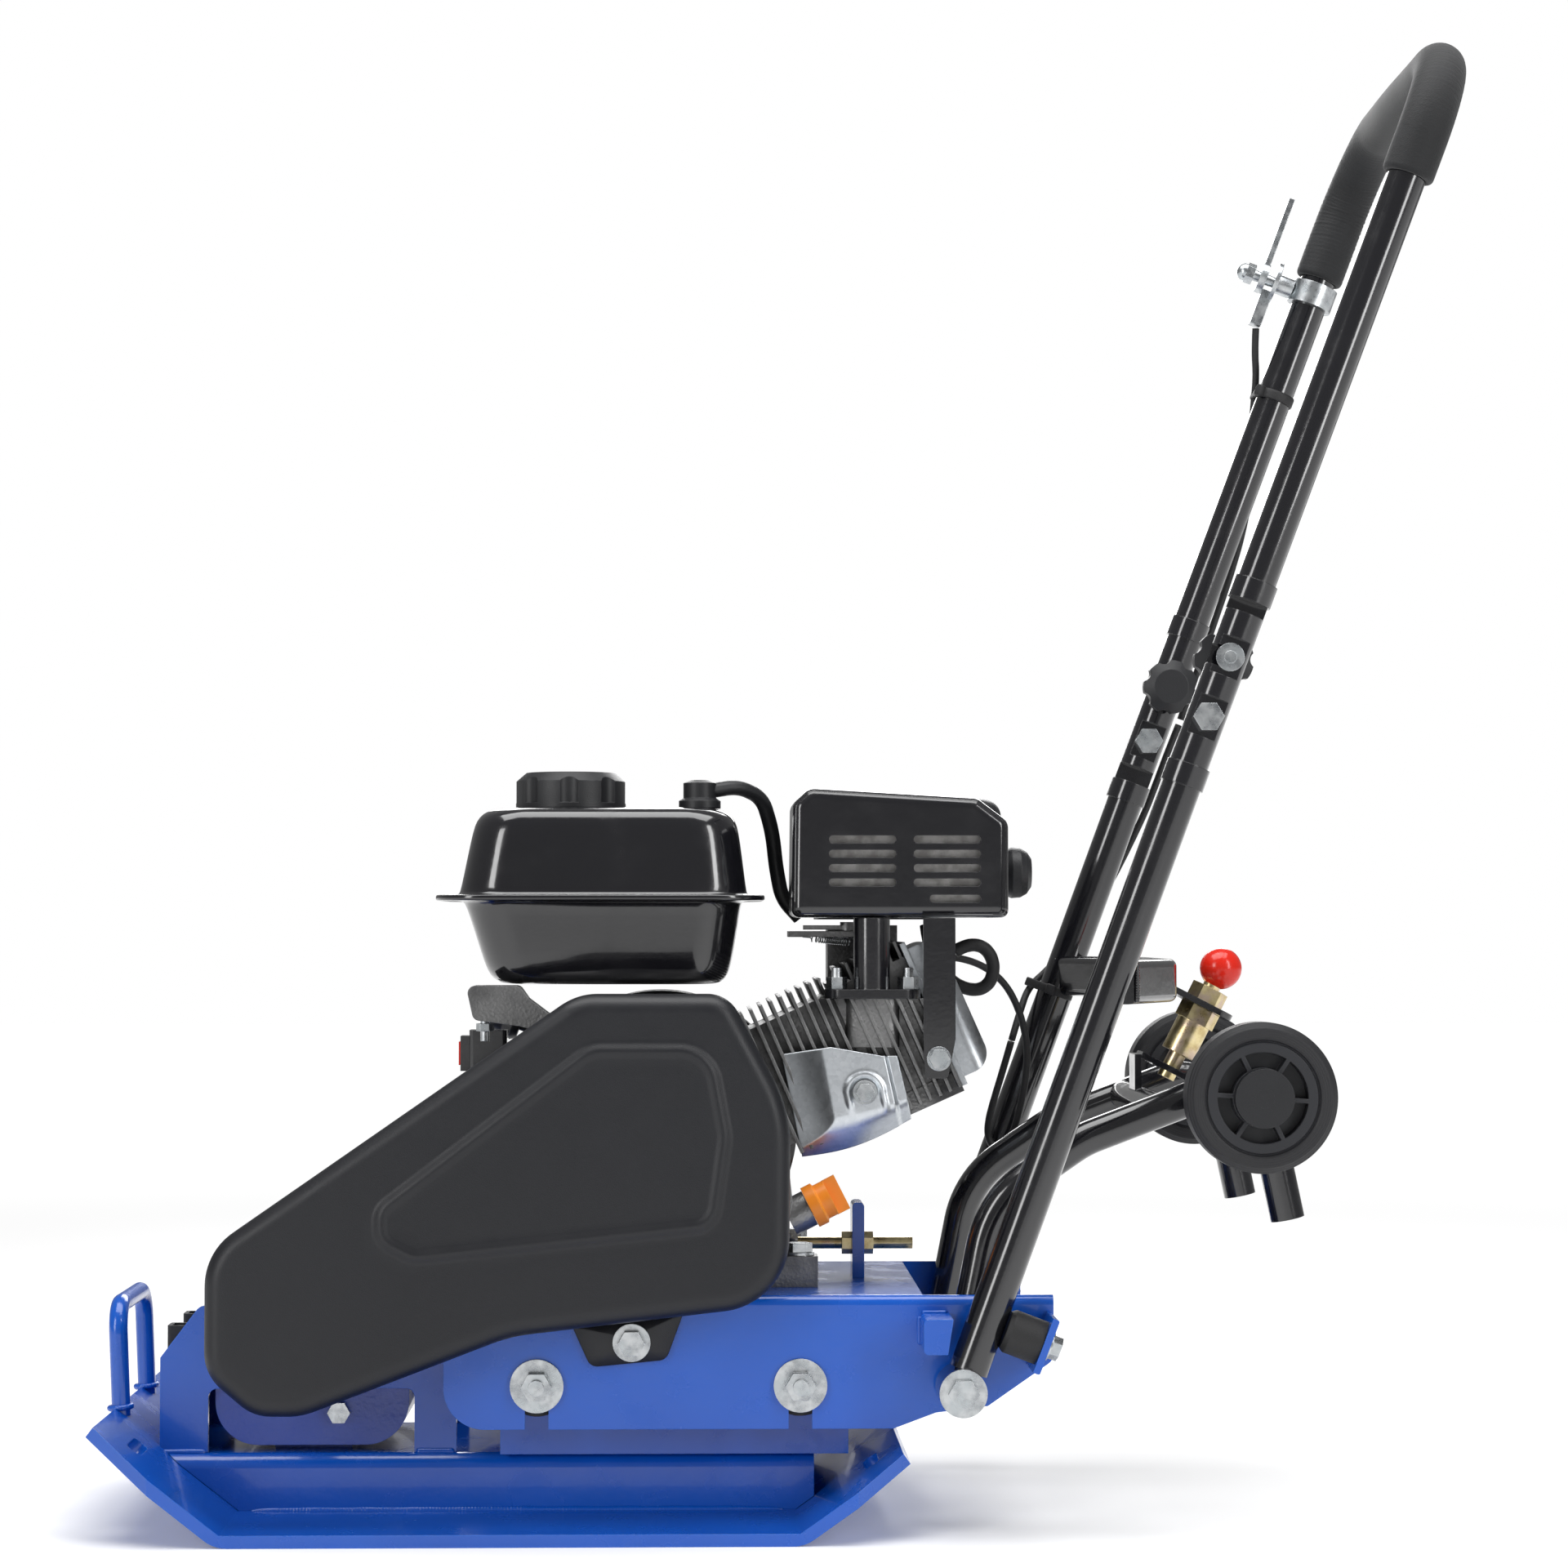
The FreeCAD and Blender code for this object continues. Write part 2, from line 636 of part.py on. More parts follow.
def rubber_mounts():
    """Four rubber buffers between the rails and the deck, with their studs."""
    rubbers = []
    studs = []
    for i, x in enumerate(("mount_front", "mount_rear")):
        rubber = turned_part("rubber%d" % i, [
            (5.1, 0), ("rubber_radius", 0), ("rubber_radius", 6), ("rubber_radius - 3", 12),
            ("rubber_radius - 3", 22), ("rubber_radius", 28), ("rubber_radius", 34), (5.1, 34)],
            (x, "-rail_half", "mount_z"), -Y)
        rubbers += [rubber, mirrored("rubber%d_far" % i, rubber)]
        stud = cylinder("stud%d_rod" % i, (x, -138, "mount_z"), Y, 5, 62)
        washer = cylinder("stud%d_washer" % i, (x, -126.5, "mount_z"), Y, 17, 2.5)
        nut = hexagon("stud%d_nut" % i, (x, -134.5, "mount_z"), Y, 17, 8)
        back = hexagon("stud%d_back" % i, (x, "-rail_half + 5", "mount_z"), Y, 15, 6)
        near = fused("stud%d" % i, stud, washer, nut, back)
        studs += [near, mirrored("stud%d_far" % i, near)]
    share("rubber_mounts", group("rubber_set", *rubbers))
    share("deck_fasteners", group("stud_set", *studs))


def engine_deck():
    """The folded engine deck: a top with two deep sides, open below and behind."""
    body = prism("deck_blank", "XZ", [
        ("deck_front", "deck_top"), ("deck_front", "deck_low"), (249, "deck_low"), (276, 75),
        (309, 79), ("deck_back", 108), ("deck_back", "deck_top")],
        0, "deck_half * 2", middle=True, corners={26: [1], 8: [5]})
    round_edges(body, 6, lambda e: is_along(e, X) and middle_of(e).z > d.deck_top - 0.1)
    inside = sketch_on(body, "XZ")
    under = "deck_top - deck_thick"
    outline(inside, [(-60, 40), (400, 40), (400, under), (-60, under)])
    pocket(body, inside, "(deck_half - deck_thick) * 2", middle=True)
    well = sketch_on(body, "XY", "deck_top + 5")
    half = "deck_half - deck_thick"
    outline(well, [("deck_cut", "-(%s)" % half), (400, "-(%s)" % half), (400, half),
                   ("deck_cut", half)])
    pocket(body, well, 20)
    notch = sketch_on(body, "XZ")
    for x in ("mount_front", "mount_rear"):
        outline(notch, [(x + " - 7.5", 40), (x + " + 7.5", 40), (x + " + 7.5", "mount_z + 7"),
                        (x + " - 7.5", "mount_z + 7")])
    pocket(body, notch, 300, middle=True)
    holes = sketch_on(body, "XZ")
    hole_circle(holes, ("pivot_x", "pivot_z"), "pivot_radius + 0.05")
    hole_circle(holes, (83, 120), 5.1)
    pocket(body, holes, 300, middle=True)
    return node("engine_deck", body)


def handle_stops():
    """Brackets on the deck's sides that the handle leans against, front and rear."""
    front = prism("front_stop", "XZ", [(266, 116), (281, 116), (284.5, 138), (266, 138)],
                  "deck_half", 42, corners={3: [0, 3]})
    lean = math.radians(21)
    way = Vector(math.cos(lean), 0, -math.sin(lean))
    seat = (317.2, "-handle_half", 131)
    rubber = turned_part("stop_rubber", [(0, 0), (12, 0), (14, 3), (14, 24), (0, 24)],
                         shifted(seat, way, 0.5), way)
    plate = shifted(seat, way, 24.5)
    across = Vector(math.sin(lean), 0, math.cos(lean))
    middle = Vector(seat[0], 0, seat[2])
    corners = [middle + way * run + across * rise
               for run, rise in ((24.6, 18), (29, 18), (29, -18), (24.6, -18))]
    rear = prism("rear_stop", "XZ", [(p.x, p.z) for p in corners], "deck_half", 46,
                 corners={1.5: [1, 2]})
    bolt_seat = shifted(seat, way, 29)
    screw = bolt("stop_bolt", bolt_seat, way, 4, 13, 6, 4.4, washer=9)
    rear_hole = drill("rear_stop_drilled", rear, (plate, way, 4.1, 20))
    share("deck_brackets", both_sides("stop_pair", group("stops", front, rear_hole)))
    share("rubber_mounts", both_sides("rubber_stop_pair", rubber))
    share("deck_fasteners", both_sides("stop_bolt_pair", screw))


def tension_gear():
    """The belt tensioner: an upright tab, its threaded rod and the lock nuts."""
    tab = prism("tab_plate", "XZ", [(228, "deck_top"), (236, "deck_top"), (236, 199),
                                    (228, 199)], -28, 32, corners={3: [2, 3]})
    tab = drill("tab_drilled", tab, ((220, 12, 171), X, 4.2, 30))
    share("deck_brackets", tab)
    rod = cylinder("tension_thread", (192, 12, 171), X, 4, 77)
    nut = hexagon("tension_nut", (236, 12, 171), X, 13, 6.5)
    jam = hexagon("tension_jam", (221.5, 12, 171), X, 13, 6.5)
    node("tension_rod", fused("tension_set", rod, nut, jam))


def engine_feet():
    """The engine's two cast foot rails and the bolts that clamp them to the deck."""
    rail = block("foot_rail", (-14, -69.5, "deck_top"), (203, -46, 169))
    slots = [((x, -58, "deck_top - 1"), Z, 5.3, 30) for x in (-2, 191)]
    rail = drill("foot_drilled", rail, *slots)
    far = mirrored("foot_far", rail)
    share("crankcase", group("foot_pair", rail, far))
    screws = []
    for i, x in enumerate((-2, 191)):
        screw = bolt("foot_bolt%d" % i, (x, -58, 169), Z, 5, 15, 6, 19.5, washer=10)
        screws += [screw, mirrored("foot_bolt%d_far" % i, screw)]
    share("deck_fasteners", group("foot_bolts", *screws))


# ---------------------------------------------------------------- belt guard

GUARD = [(-183, 180), (48.5, 340.5), (144, 340.5), (183, 268), (182, 147), (8, 127),
         (-122, 77.6), (-152, 77.6), (-183, 104)]
GUARD_ROUNDS = {40: [0, 1], 22: [2], 90: [3], 46: [4], 100: [5], 44: [6], 30: [7, 8]}
PANEL = [(-72, 206), (58, 305), (131, 305), (141, 252), (134, 202), (126, 197), (-52, 178),
         (-72, 188)]


def inset(points, margin):
    """The same outline moved inwards; its corners run anticlockwise or clockwise."""
    count = len(points)
    area = sum(points[i][0] * points[(i + 1) % count][1]
               - points[(i + 1) % count][0] * points[i][1] for i in range(count))
    sense = 1 if area > 0 else -1
    moved = []
    for i in range(count):
        before = Vector(*points[i - 1], 0)
        here = Vector(*points[i], 0)
        after = Vector(*points[(i + 1) % count], 0)
        left = Vector(-(here - before).y, (here - before).x, 0).normalize() * sense
        right = Vector(-(after - here).y, (after - here).x, 0).normalize() * sense
        both = left + right
        step = here + both * (margin / (1 + left.dot(right)))
        moved.append((step.x, step.y))
    return moved


def belt_guard():
    """The moulded guard: a deep cover over the belt, with a raised panel on its face."""
    depth = "guard_face - guard_back"
    shell = prism("guard_outside", "XZ", GUARD, "guard_back", depth, corners=GUARD_ROUNDS)
    front = -d.guard_face
    round_edges(shell, 11, lambda e: abs(middle_of(e).y - front) < 0.01
                and abs(e.Vertexes[-1].Point.y - front) < 0.01)
    hollow = prism("guard_inside", "XZ", inset(GUARD, d.guard_wall), "guard_back - 1",
                   depth + " - guard_wall + 1",
                   corners={r - (2 if r < 60 else 0): c for r, c in GUARD_ROUNDS.items()})
    inner = number("-guard_face + guard_wall")
    round_edges(hollow, 9, lambda e: abs(middle_of(e).y - inner) < 0.01
                and abs(e.Vertexes[-1].Point.y - inner) < 0.01)
    panel = prism("guard_panel", "XZ", PANEL, "guard_face - 1", 4,
                  corners={14: [1, 2, 4, 7], 10: [0, 6]})
    lip = front - 3
    round_edges(panel, 2.5, lambda e: abs(middle_of(e).y - lip) < 0.01)
    tab = prism("guard_tab", "XZ", [(45, 131), (116, 139), (105, 111), (57, 106.5)],
                "deck_half", 3, corners={5: [2, 3]})
    whole = fused("guard_whole", cut("guard_shell", shell, hollow), panel, tab)
    opening = [((83, -130, 120), Y, 5.1, 10)]
    node("belt_guard", drill("guard_drilled", whole, *opening))
    screw = bolt("guard_bolt", (83, "-deck_half - 3", 120), -Y, 5, 15, 6.5, 20, washer=12)
    share("deck_fasteners", screw)
    backing = prism("guard_back_plate", "XZ", inset(GUARD, 4), "guard_back - 0.2", 2,
                    corners={r - (3 if r < 60 else 0): c for r, c in GUARD_ROUNDS.items()},
                    holes=[(("crank_x", "crank_z"), 52), (("shaft_x", "shaft_z"), 20)])
    node("guard_back_plate", backing)


# ---------------------------------------------------------------- engine

def along_cylinder(run, rise=0.0, y=0.0):
    """A point run along the inclined cylinder's axis and rise square to it."""
    lean = math.radians(d.lean)
    return (d.crank_x + run * math.cos(lean) - rise * math.sin(lean), y,
            d.crank_z + run * math.sin(lean) + rise * math.cos(lean))


def leaning_block(name, run, rise, y):
    """A box in the inclined cylinder's frame; each argument is a (low, high) pair."""
    thing = doc.addObject("Part::Box", name)
    thing.Length = run[1] - run[0]
    thing.Width = y[1] - y[0]
    thing.Height = rise[1] - rise[0]
    turn = Rotation(Y, -d.lean)
    thing.Placement = Placement(Vector(*along_cylinder(run[0], rise[0], y[0])), turn)
    return thing


def crankcase():
    """The cast crankcase on its feet, hollow round the crankshaft."""
    case = prism("case_blank", "XZ", [
        (12, 169), (176, 169), (186, 205), (182, 240), (150, 318), (70, 326), (20, 296),
        (10, 240)], "-block_rear", "block_rear - block_front",
        corners={18: [2, 3, 5, 6, 7]})
    cover = turned_part("case_cover", [(0, 0), (72, 0), (66, 7), (30, 9), (0, 9)],
                        ("crank_x", "block_front", "crank_z"), -Y)
    whole = fused("case_solid", case, cover)
    bores = [(("crank_x", -84, "crank_z"), Y, 58, 140),
             (("crank_x", -120, "crank_z"), Y, 15.2, 230)]
    whole = drill("case_bored", whole, *bores)
    space = leaning_block("case_mouth", (72, 130), (-48, 48), (-50, 62))
    share("crankcase", cut("case_open", whole, space))


def crankshaft():
    """The crankshaft, from the clutch end through the case to the flywheel end."""
    rod = cylinder("crank_rod", ("crank_x", -152, "crank_z"), Y, 11.96, 250)
    webs = [cylinder("crank_web%d" % i, ("crank_x", y, "crank_z"), Y, 46, 14)
            for i, y in enumerate((-34, 20))]
    pin = cylinder("crank_pin", ("crank_x + 26", -22, "crank_z"), Y, 14, 44)
    journals = cylinder("crank_journal", ("crank_x", -104, "crank_z"), Y, 15, 172)
    share("crankshaft", fused("crank_whole", rod, pin, journals, *webs))
    wheel = turned_part("flywheel_disc", [
        (12, 0), (70, 0), (70, 22), (60, 24), (12, 24)], ("crank_x", 74, "crank_z"), Y)
    vanes = [block("vane%d" % i, (40, -1.5, 23), (62, 1.5, 40)) for i in range(10)]
    for i, vane in enumerate(vanes):
        spin = Rotation(Y, 36 * i).multiply(Rotation(X, -90))
        centre = Vector(d.crank_x, 74, d.crank_z)
        vane.Placement = Placement(centre + spin.multVec(Vector(40, -1.5, 23)), spin)
    share("crankshaft", fused("flywheel_whole", wheel, *vanes))


def cylinder_block():
    """The finned cylinder barrel and the finned head, inclined to the rear."""
    barrel = leaning_block("barrel", (72.5, 142), (-40, 40), (-46, 56))
    fins = [leaning_block("barrel_fin%d" % i, (81 + 7 * i, 83.2 + 7 * i), (-47, 52), (-62, 60))
            for i in range(9)]
    clear = cylinder("barrel_bore", along_cylinder(60, 0, 5),
                     Vector(*along_cylinder(1)) - Vector(*along_cylinder(0)), 34, 70)
    clearing = block("flange_clearing", (205, -70, 336), (275, -32, 400))
    finned = fused("barrel_finned", barrel, *fins)
    share("cylinder_block", cut("barrel_bored", finned, clear, clearing))
    head = leaning_block("head", (148, 196), (-42, 42), (-46, 56))
    fins = [leaning_block("head_fin%d" % i, (151 + 7 * i, 153.2 + 7 * i), (-50, 54), (-60, 64))
            for i in range(7)]
    collar = leaning_block("head_gasket", (142, 148), (-46, 46), (-52, 58))
    port = block("exhaust_port", (222, -59, 304), (257, -36, 336), 8)
    base = leaning_block("head_base", (148, 196), (-54, -40), (-48, 56))
    clearing = block("flange_space", (205, -70, 336), (275, -32, 400))
    plug_x, _, plug_z = along_cylinder(172, -34)
    plug_way = Vector(0, 0.98, -0.2)
    plug_space = cylinder("plug_space", (plug_x, 57, plug_z), plug_way, 10.5, 14)
    finned = fused("head_finned", head, collar, base, port, *fins)
    share("cylinder_block", cut("head_cleared", cut("head_flanged", finned, clearing),
                                plug_space))
    cover = leaning_block("rocker_cover", (196.2, 222), (-46, 46), (-38, 52))
    rim = leaning_block("rocker_rim", (196.2, 200), (-51, 51), (-43, 57))
    cover = rounded("rocker_soft", cover, 14, None,
                    lambda e: middle_of(e).distanceToPoint(Vector(*along_cylinder(222, 0, 7)))
                    < 60 and on_far_end(e, 222))
    node("valve_cover", fused("rocker_cover_whole", cover, rim))
    plug = turned_part("plug_ceramic", [(0, 0), (7, 0), (7, 10), (9, 10), (9, 34), (0, 34)],
                       (plug_x, 58.2, plug_z), plug_way)
    node("spark_plug_cap", plug)


def on_far_end(edge, run):
    """Whether an edge lies in the plane square to the cylinder at a run."""
    lean = math.radians(d.lean)
    ends = [v.Point for v in edge.Vertexes]
    return all(abs((p.x - d.crank_x) * math.cos(lean) + (p.z - d.crank_z) * math.sin(lean)
                   - run) < 0.01 for p in ends)


def fuel_tank():
    """The pressed tank: a deep lower pan and a tapered upper pan, seamed at a rim."""
    y0 = "tank_mid - tank_half"
    y1 = "tank_mid + tank_half"
    upper = prism("tank_upper", "XY", [(-34, y0 + " + 12"), (158, y0 + " + 12"),
                                       (158, y1 + " - 12"), (-34, y1 + " - 12")],
                  402, 60, corners={30: [0, 1, 2, 3]})
    round_edges(upper, 14, lambda e: middle_of(e).z > 461.9)
    lower = prism("tank_lower", "XY", [(-30, y0 + " + 14"), (152, y0 + " + 14"),
                                       (152, y1 + " - 14"), (-30, y1 + " - 14")],
                  345, 57, corners={28: [0, 1, 2, 3]})
    round_edges(lower, 22, lambda e: middle_of(e).z < 345.1)
    rim = prism("tank_rim", "XY", [(-48, y0), (169, y0), (169, y1), (-48, y1)], 400, 4,
                corners={34: [0, 1, 2, 3]})
    neck = cylinder("tank_neck", (39, "tank_mid", 455), Z, 26, 13)
    node("fuel_tank", fused("tank_whole", upper, lower, rim, neck))
    cap = turned_part("cap_top", [(0, 5.5), (26.6, 5.5), (26.6, 0), (37, 0), (37, 18),
                                  (30, 24), (0, 24)], (39, "tank_mid", 462.6), Z)
    scallops = []
    for i in range(8):
        way = math.radians(45 * i)
        scallops.append(cylinder("cap_scallop%d" % i, (39 + 43 * math.cos(way),
                        d.tank_mid + 43 * math.sin(way), 466), Z, 9, 30))
    node("fuel_cap", cut("cap_scalloped", cap, *scallops))
    valve = turned_part("valve_body", [(0, 0), (14, 0), (14, 5), (11, 7), (11, 17), (6, 19),
                                       (0, 19)], (126, "tank_mid - 26", 462), Z)
    share("vapour_valve", valve)
    hose = [(134, -6, 474), (152, 0, 477), (168, 12, 470), (175, 24, 448), (178, 32, 422),
            (182, 35, 402), (194, 37, 389)]
    share("vapour_valve", swept("hose_tube", hose, even_radii(hose), 5))


def tank_bracket():
    """The cast arm that carries the front of the tank, with its stud and nut."""
    arm = prism("arm_blank", "XZ", [(-27, 344.5), (-22, 322), (8, 318), (24, 314),
                                    (30, 324), (14, 336), (8, 344.5)], 30, 24,
                corners={5: [0, 1, 6]})
    stud = cylinder("arm_stud", (-15, -42, 308), Z, 3, 30)
    nut = hexagon("arm_nut", (-15, -42, 314.5), Z, 10, 5)
    arm = drill("arm_drilled", arm, ((-15, -42, 305), Z, 3.1, 45))
    node("tank_bracket", arm)
    share("engine_fasteners", fused("arm_stud_set", stud, nut))


def muffler():
    """The muffler under its slotted guard, its pipe, flange and strap."""
    can = block("muffler_box", (196, -48, 394), (316, 12, 462))
    node("muffler_can", rounded("muffler_can_soft", can, 14, Y))
    face = -d.muffler_face
    box = prism("guard_box", "XZ", [(186, 389), (328.5, 389), (328.5, 452), (308, 467.5),
                                    (198, 474), (187, 464)], -22, face + 22,
                corners={5: [0, 1], 9: [2, 3, 4, 5]})
    near = d.muffler_face
    round_edges(box, 7, lambda e: abs(middle_of(e).y - near) < 0.01)
    inside = prism("guard_box_inside", "XZ", [
        (188, 391), (326.5, 391), (326.5, 451), (307, 465.5), (199, 472), (189, 463)], -24,
        face + 22, corners={3: [0, 1], 7: [2, 3, 4, 5]})
    slots = []
    rows = [("slot_%d_%d" % (column, row), column, column + 44, 412 + 9.4 * row)
            for column in (210.5, 266) for row in range(4)]
    for name, low, high, z in rows + [("slot_short", 276.5, 310, 401.4)]:
        slots.append(prism(name, "XZ", [(low, z - 2.5), (high, z - 2.5), (high, z + 2.5),
                                        (low, z + 2.5)], 55, 15,
                           corners={2.4: [0, 1, 2, 3]}))
    for i in range(11):
        slots.append(cylinder("vent%d" % i, (207 + 9.4 * i, -53, 455), Z, 2.5, 30))
    node("muffler_guard", cut("guard_box_slotted", box, inside, *slots))
    tube = cylinder("exhaust_tube", (239, -49, 342), Z, 12, 46.6)
    flange = block("exhaust_flange", (208, -64, 336), (271, -34, 342), 13)
    share("exhaust_pipe", fused("exhaust_whole", tube, flange))
    nuts = []
    for i, x in enumerate((216, 263)):
        nut = hexagon("exhaust_hex%d" % i, (x, -49, 342), Z, 12, 8)
        stud = cylinder("exhaust_stud%d" % i, (x, -49, 342), Z, 3.5, 14)
        nuts.append(fused("exhaust_nut%d" % i, nut, stud))
    share("engine_fasteners", group("exhaust_nut_pair", *nuts))
    strap = prism("strap_plate", "XZ", [(272, 388.7), (293, 388.7), (293, 310), (288, 284),
                                        (273, 284), (272, 310)], 63, 3, corners={3: [3, 4]})
    share("exhaust_pipe", drill("strap_drilled", strap, ((282, -70, 297), Y, 4.2, 12)))
    share("engine_fasteners", bolt("strap_screw", (282, -66, 297), -Y, 4, 12, 6, 4, washer=8))


def heat_shroud():
    """The bent galvanised plate between the hot pipe and the belt guard."""
    sheet_metal = prism("shroud_face", "XZ", [
        (180, 299), (211, 305), (254.5, 299), (264.5, 257.5), (225, 239), (208, 233),
        (193, 232)], 68, 2, corners={6: [1, 2, 3, 6]}, holes=[((233.5, 275.4), 4.2)])
    top = prism("shroud_top", "YZ", [(-68, 299), (-68, 303), (-63, 303), (-63, 299)], 190, 56)
    node("heat_shroud", fused("shroud_whole", sheet_metal, top))
    share("engine_fasteners",
          bolt("shroud_screw", (233.5, -71, 275.4), -Y, 4, 11, 4, 7, washer=8))


def intake():
    """Carburettor, air-cleaner base, cover and knob on the far side of the head."""
    share("carburettor", block("carb_body", (214, 66, 338), (262, 104, 384)))
    share("carburettor", cylinder("carb_bowl", (238, 85, 314), Z, 17, 23.9))
    base = block("cleaner_base", (206, 30, 388), (300, 124, 408), 10)
    share("air_cleaner", base)
    cover = block("cleaner_cover", (204, 28, 408.2), (332, 126, 470), 18)
    doc.recompute()
    share("air_cleaner", rounded("cleaner_soft", cover, 12, None,
                                 lambda e: middle_of(e).z > 469.9))
    knob = turned_part("cleaner_grip", [(0, 0), (9, 0), (9, 4), (16, 4.5), (17.5, 8),
                                        (17, 14), (14.5, 18.5), (10, 21.5), (0, 22)],
                       (332.2, 60, 420), X)
    node("air_cleaner_knob", knob)
    plate = prism("governor_sheet", "XZ", [(186, 376), (246, 376), (246, 380), (186, 380)],
                  -58, 40)
    share("carburettor", plate)
    arm = block("governor_rod", (196, 20, 381), (226, 28, 384))
    post = cylinder("governor_post", (226, 24, 380.2), Z, 5, 6)
    share("carburettor", fused("governor_arm_whole", arm, post))


def recoil_side():
    """Fan housing with the recoil starter, its handle and rope, and the stop switch."""
    shell = turned_part("fan_shell", [(0, 0), (94, 0), (94, 62), (76, 90), (0, 90)],
                        ("crank_x", 70, "crank_z"), Y)
    hollow = turned_part("fan_hollow", [(0, -1), (90, -1), (90, 60), (73, 86), (0, 86)],
                         ("crank_x", 70, "crank_z"), Y)
    way = Vector(-0.94, 0, 0.34).normalize()
    seat = shifted(("crank_x - 84", 126, "crank_z + 62"), way, 0)
    bored = drill("fan_bored", cut("fan_open", shell, hollow), (shifted(seat, way, -30), way,
                                                               3.2, 60))
    vents = []
    for i in range(12):
        turn = math.radians(30 * i)
        vents.append(cylinder("fan_vent%d" % i, (d.crank_x + 54 * math.cos(turn), 150,
                                                 d.crank_z + 54 * math.sin(turn)), Y, 8, 20))
    share("recoil_housing", cut("fan_vented", bored, *vents))
    grip = turned_part("recoil_grip", [(0, 0), (8, 0), (11, 5), (8, 12), (9, 22), (6, 25),
                                       (0, 25)], shifted(seat, way, 16), way)
    share("recoil_handle", rounded("recoil_grip_soft", grip, 1))
    rope = cylinder("recoil_rope_run", shifted(seat, way, -94), way, 2, 110)
    share("recoil_handle", rope)
    switch_box = block("switch_case", (-32, 66, 282), (-6, 92, 312), 3)
    bezel = block("switch_bezel", (-38, 68.5, 284), (-32, 89.5, 308))
    well = block("switch_well", (-39, 71.2, 287), (-32, 86.8, 305))
    bezel = drill("switch_bezel_open", cut("switch_frame", bezel, well),
                  ((-35.6, 70, 296), Y, 1.6, 18))
    pin = cylinder("rocker_pin", (-35.6, 70.4, 296), Y, 1.5, 17.2)
    paddle = block("rocker_paddle", (-39.5, 72, 288), (-33.2, 86, 304), 1)
    rocker = fused("switch_rocker", paddle, pin)
    share("recoil_housing", fused("switch_whole", switch_box, bezel))
    node("stop_switch_rocker", rocker)


def oil_filler():
    """The filler neck low on the crankcase and its orange dipstick cap."""
    way = Vector(math.cos(math.radians(27)), 0, math.sin(math.radians(27)))
    neck = turned_part("filler_tube", [(0, 0), (12, 0), (12, 15), (0, 15)],
                       (184, -74, 194), way)
    share("crankcase", neck)
    cap = turned_part("dipstick_cap", [(0, 0), (14, 0), (14, 7), (12, 8), (12, 15), (0, 15)],
                      shifted((184, -74, 194), way, 15.2), way)
    grip = block("dipstick_wing", (0, -3, 12), (0.1, 3, 12.1))
    grip.Length = 24
    grip.Width = 6
    grip.Height = 9
    turn = Rotation(Z, way)
    grip.Placement = Placement(Vector(184, -74, 194) + way * 29.5
                               + turn.multVec(Vector(-12, -3, 0)), turn)
    node("oil_dipstick", fused("dipstick_whole", cap, grip))


# ---------------------------------------------------------------- handle

def handle_way(length, start="fold", y=0.0):
    """A point on the handle's line, a length up from the foot pivot or the fold bolt."""
    if start == "foot":
        base = Vector(d.pivot_x, y, d.pivot_z)
        aim = Vector(d.fold_x, y, d.fold_z) - base
    else:
        base = Vector(d.fold_x, y, d.fold_z)
        aim = Vector(math.sin(math.radians(20.6)), 0, math.cos(math.radians(20.6)))
    point = base + aim.normalize() * length
    return (point.x, point.y, point.z)


def tongue(name, low, high, side, outer, flats):
    """Half of the round tube, split lengthwise, with flats milled where bolts sit.

    side is -1 on the belt-guard side of the machine.  outer says which half it is.
    """
    way = Vector(*handle_way(1)) - Vector(*handle_way(0))
    mid = side * d.handle_half
    rod = cylinder(name + "_rod", handle_way(low, y=mid), way, "tube_radius", high - low)
    turn = Rotation(Y, 20.6)
    outward = side if outer else -side
    tools = []
    for i, (start, end, face) in enumerate([(low - 5, high + 5, -0.4)]
                                           + [(s0, s1, 8.5) for s0, s1 in flats]):
        space = doc.addObject("Part::Box", "%s_space%d" % (name, i))
        space.Length = 40
        space.Width = 20
        space.Height = end - start
        corner = Vector(*handle_way(start)) + turn.multVec(Vector(-20, 0, 0))
        if i == 0:
            y = mid + outward * 0.4 - (20 if outward > 0 else 0)
        else:
            y = mid + outward * face - (0 if outward > 0 else 20)
        space.Placement = Placement(Vector(corner.x, y, corner.z), turn)
        tools.append(space)
    return cut(name, rod, *tools)


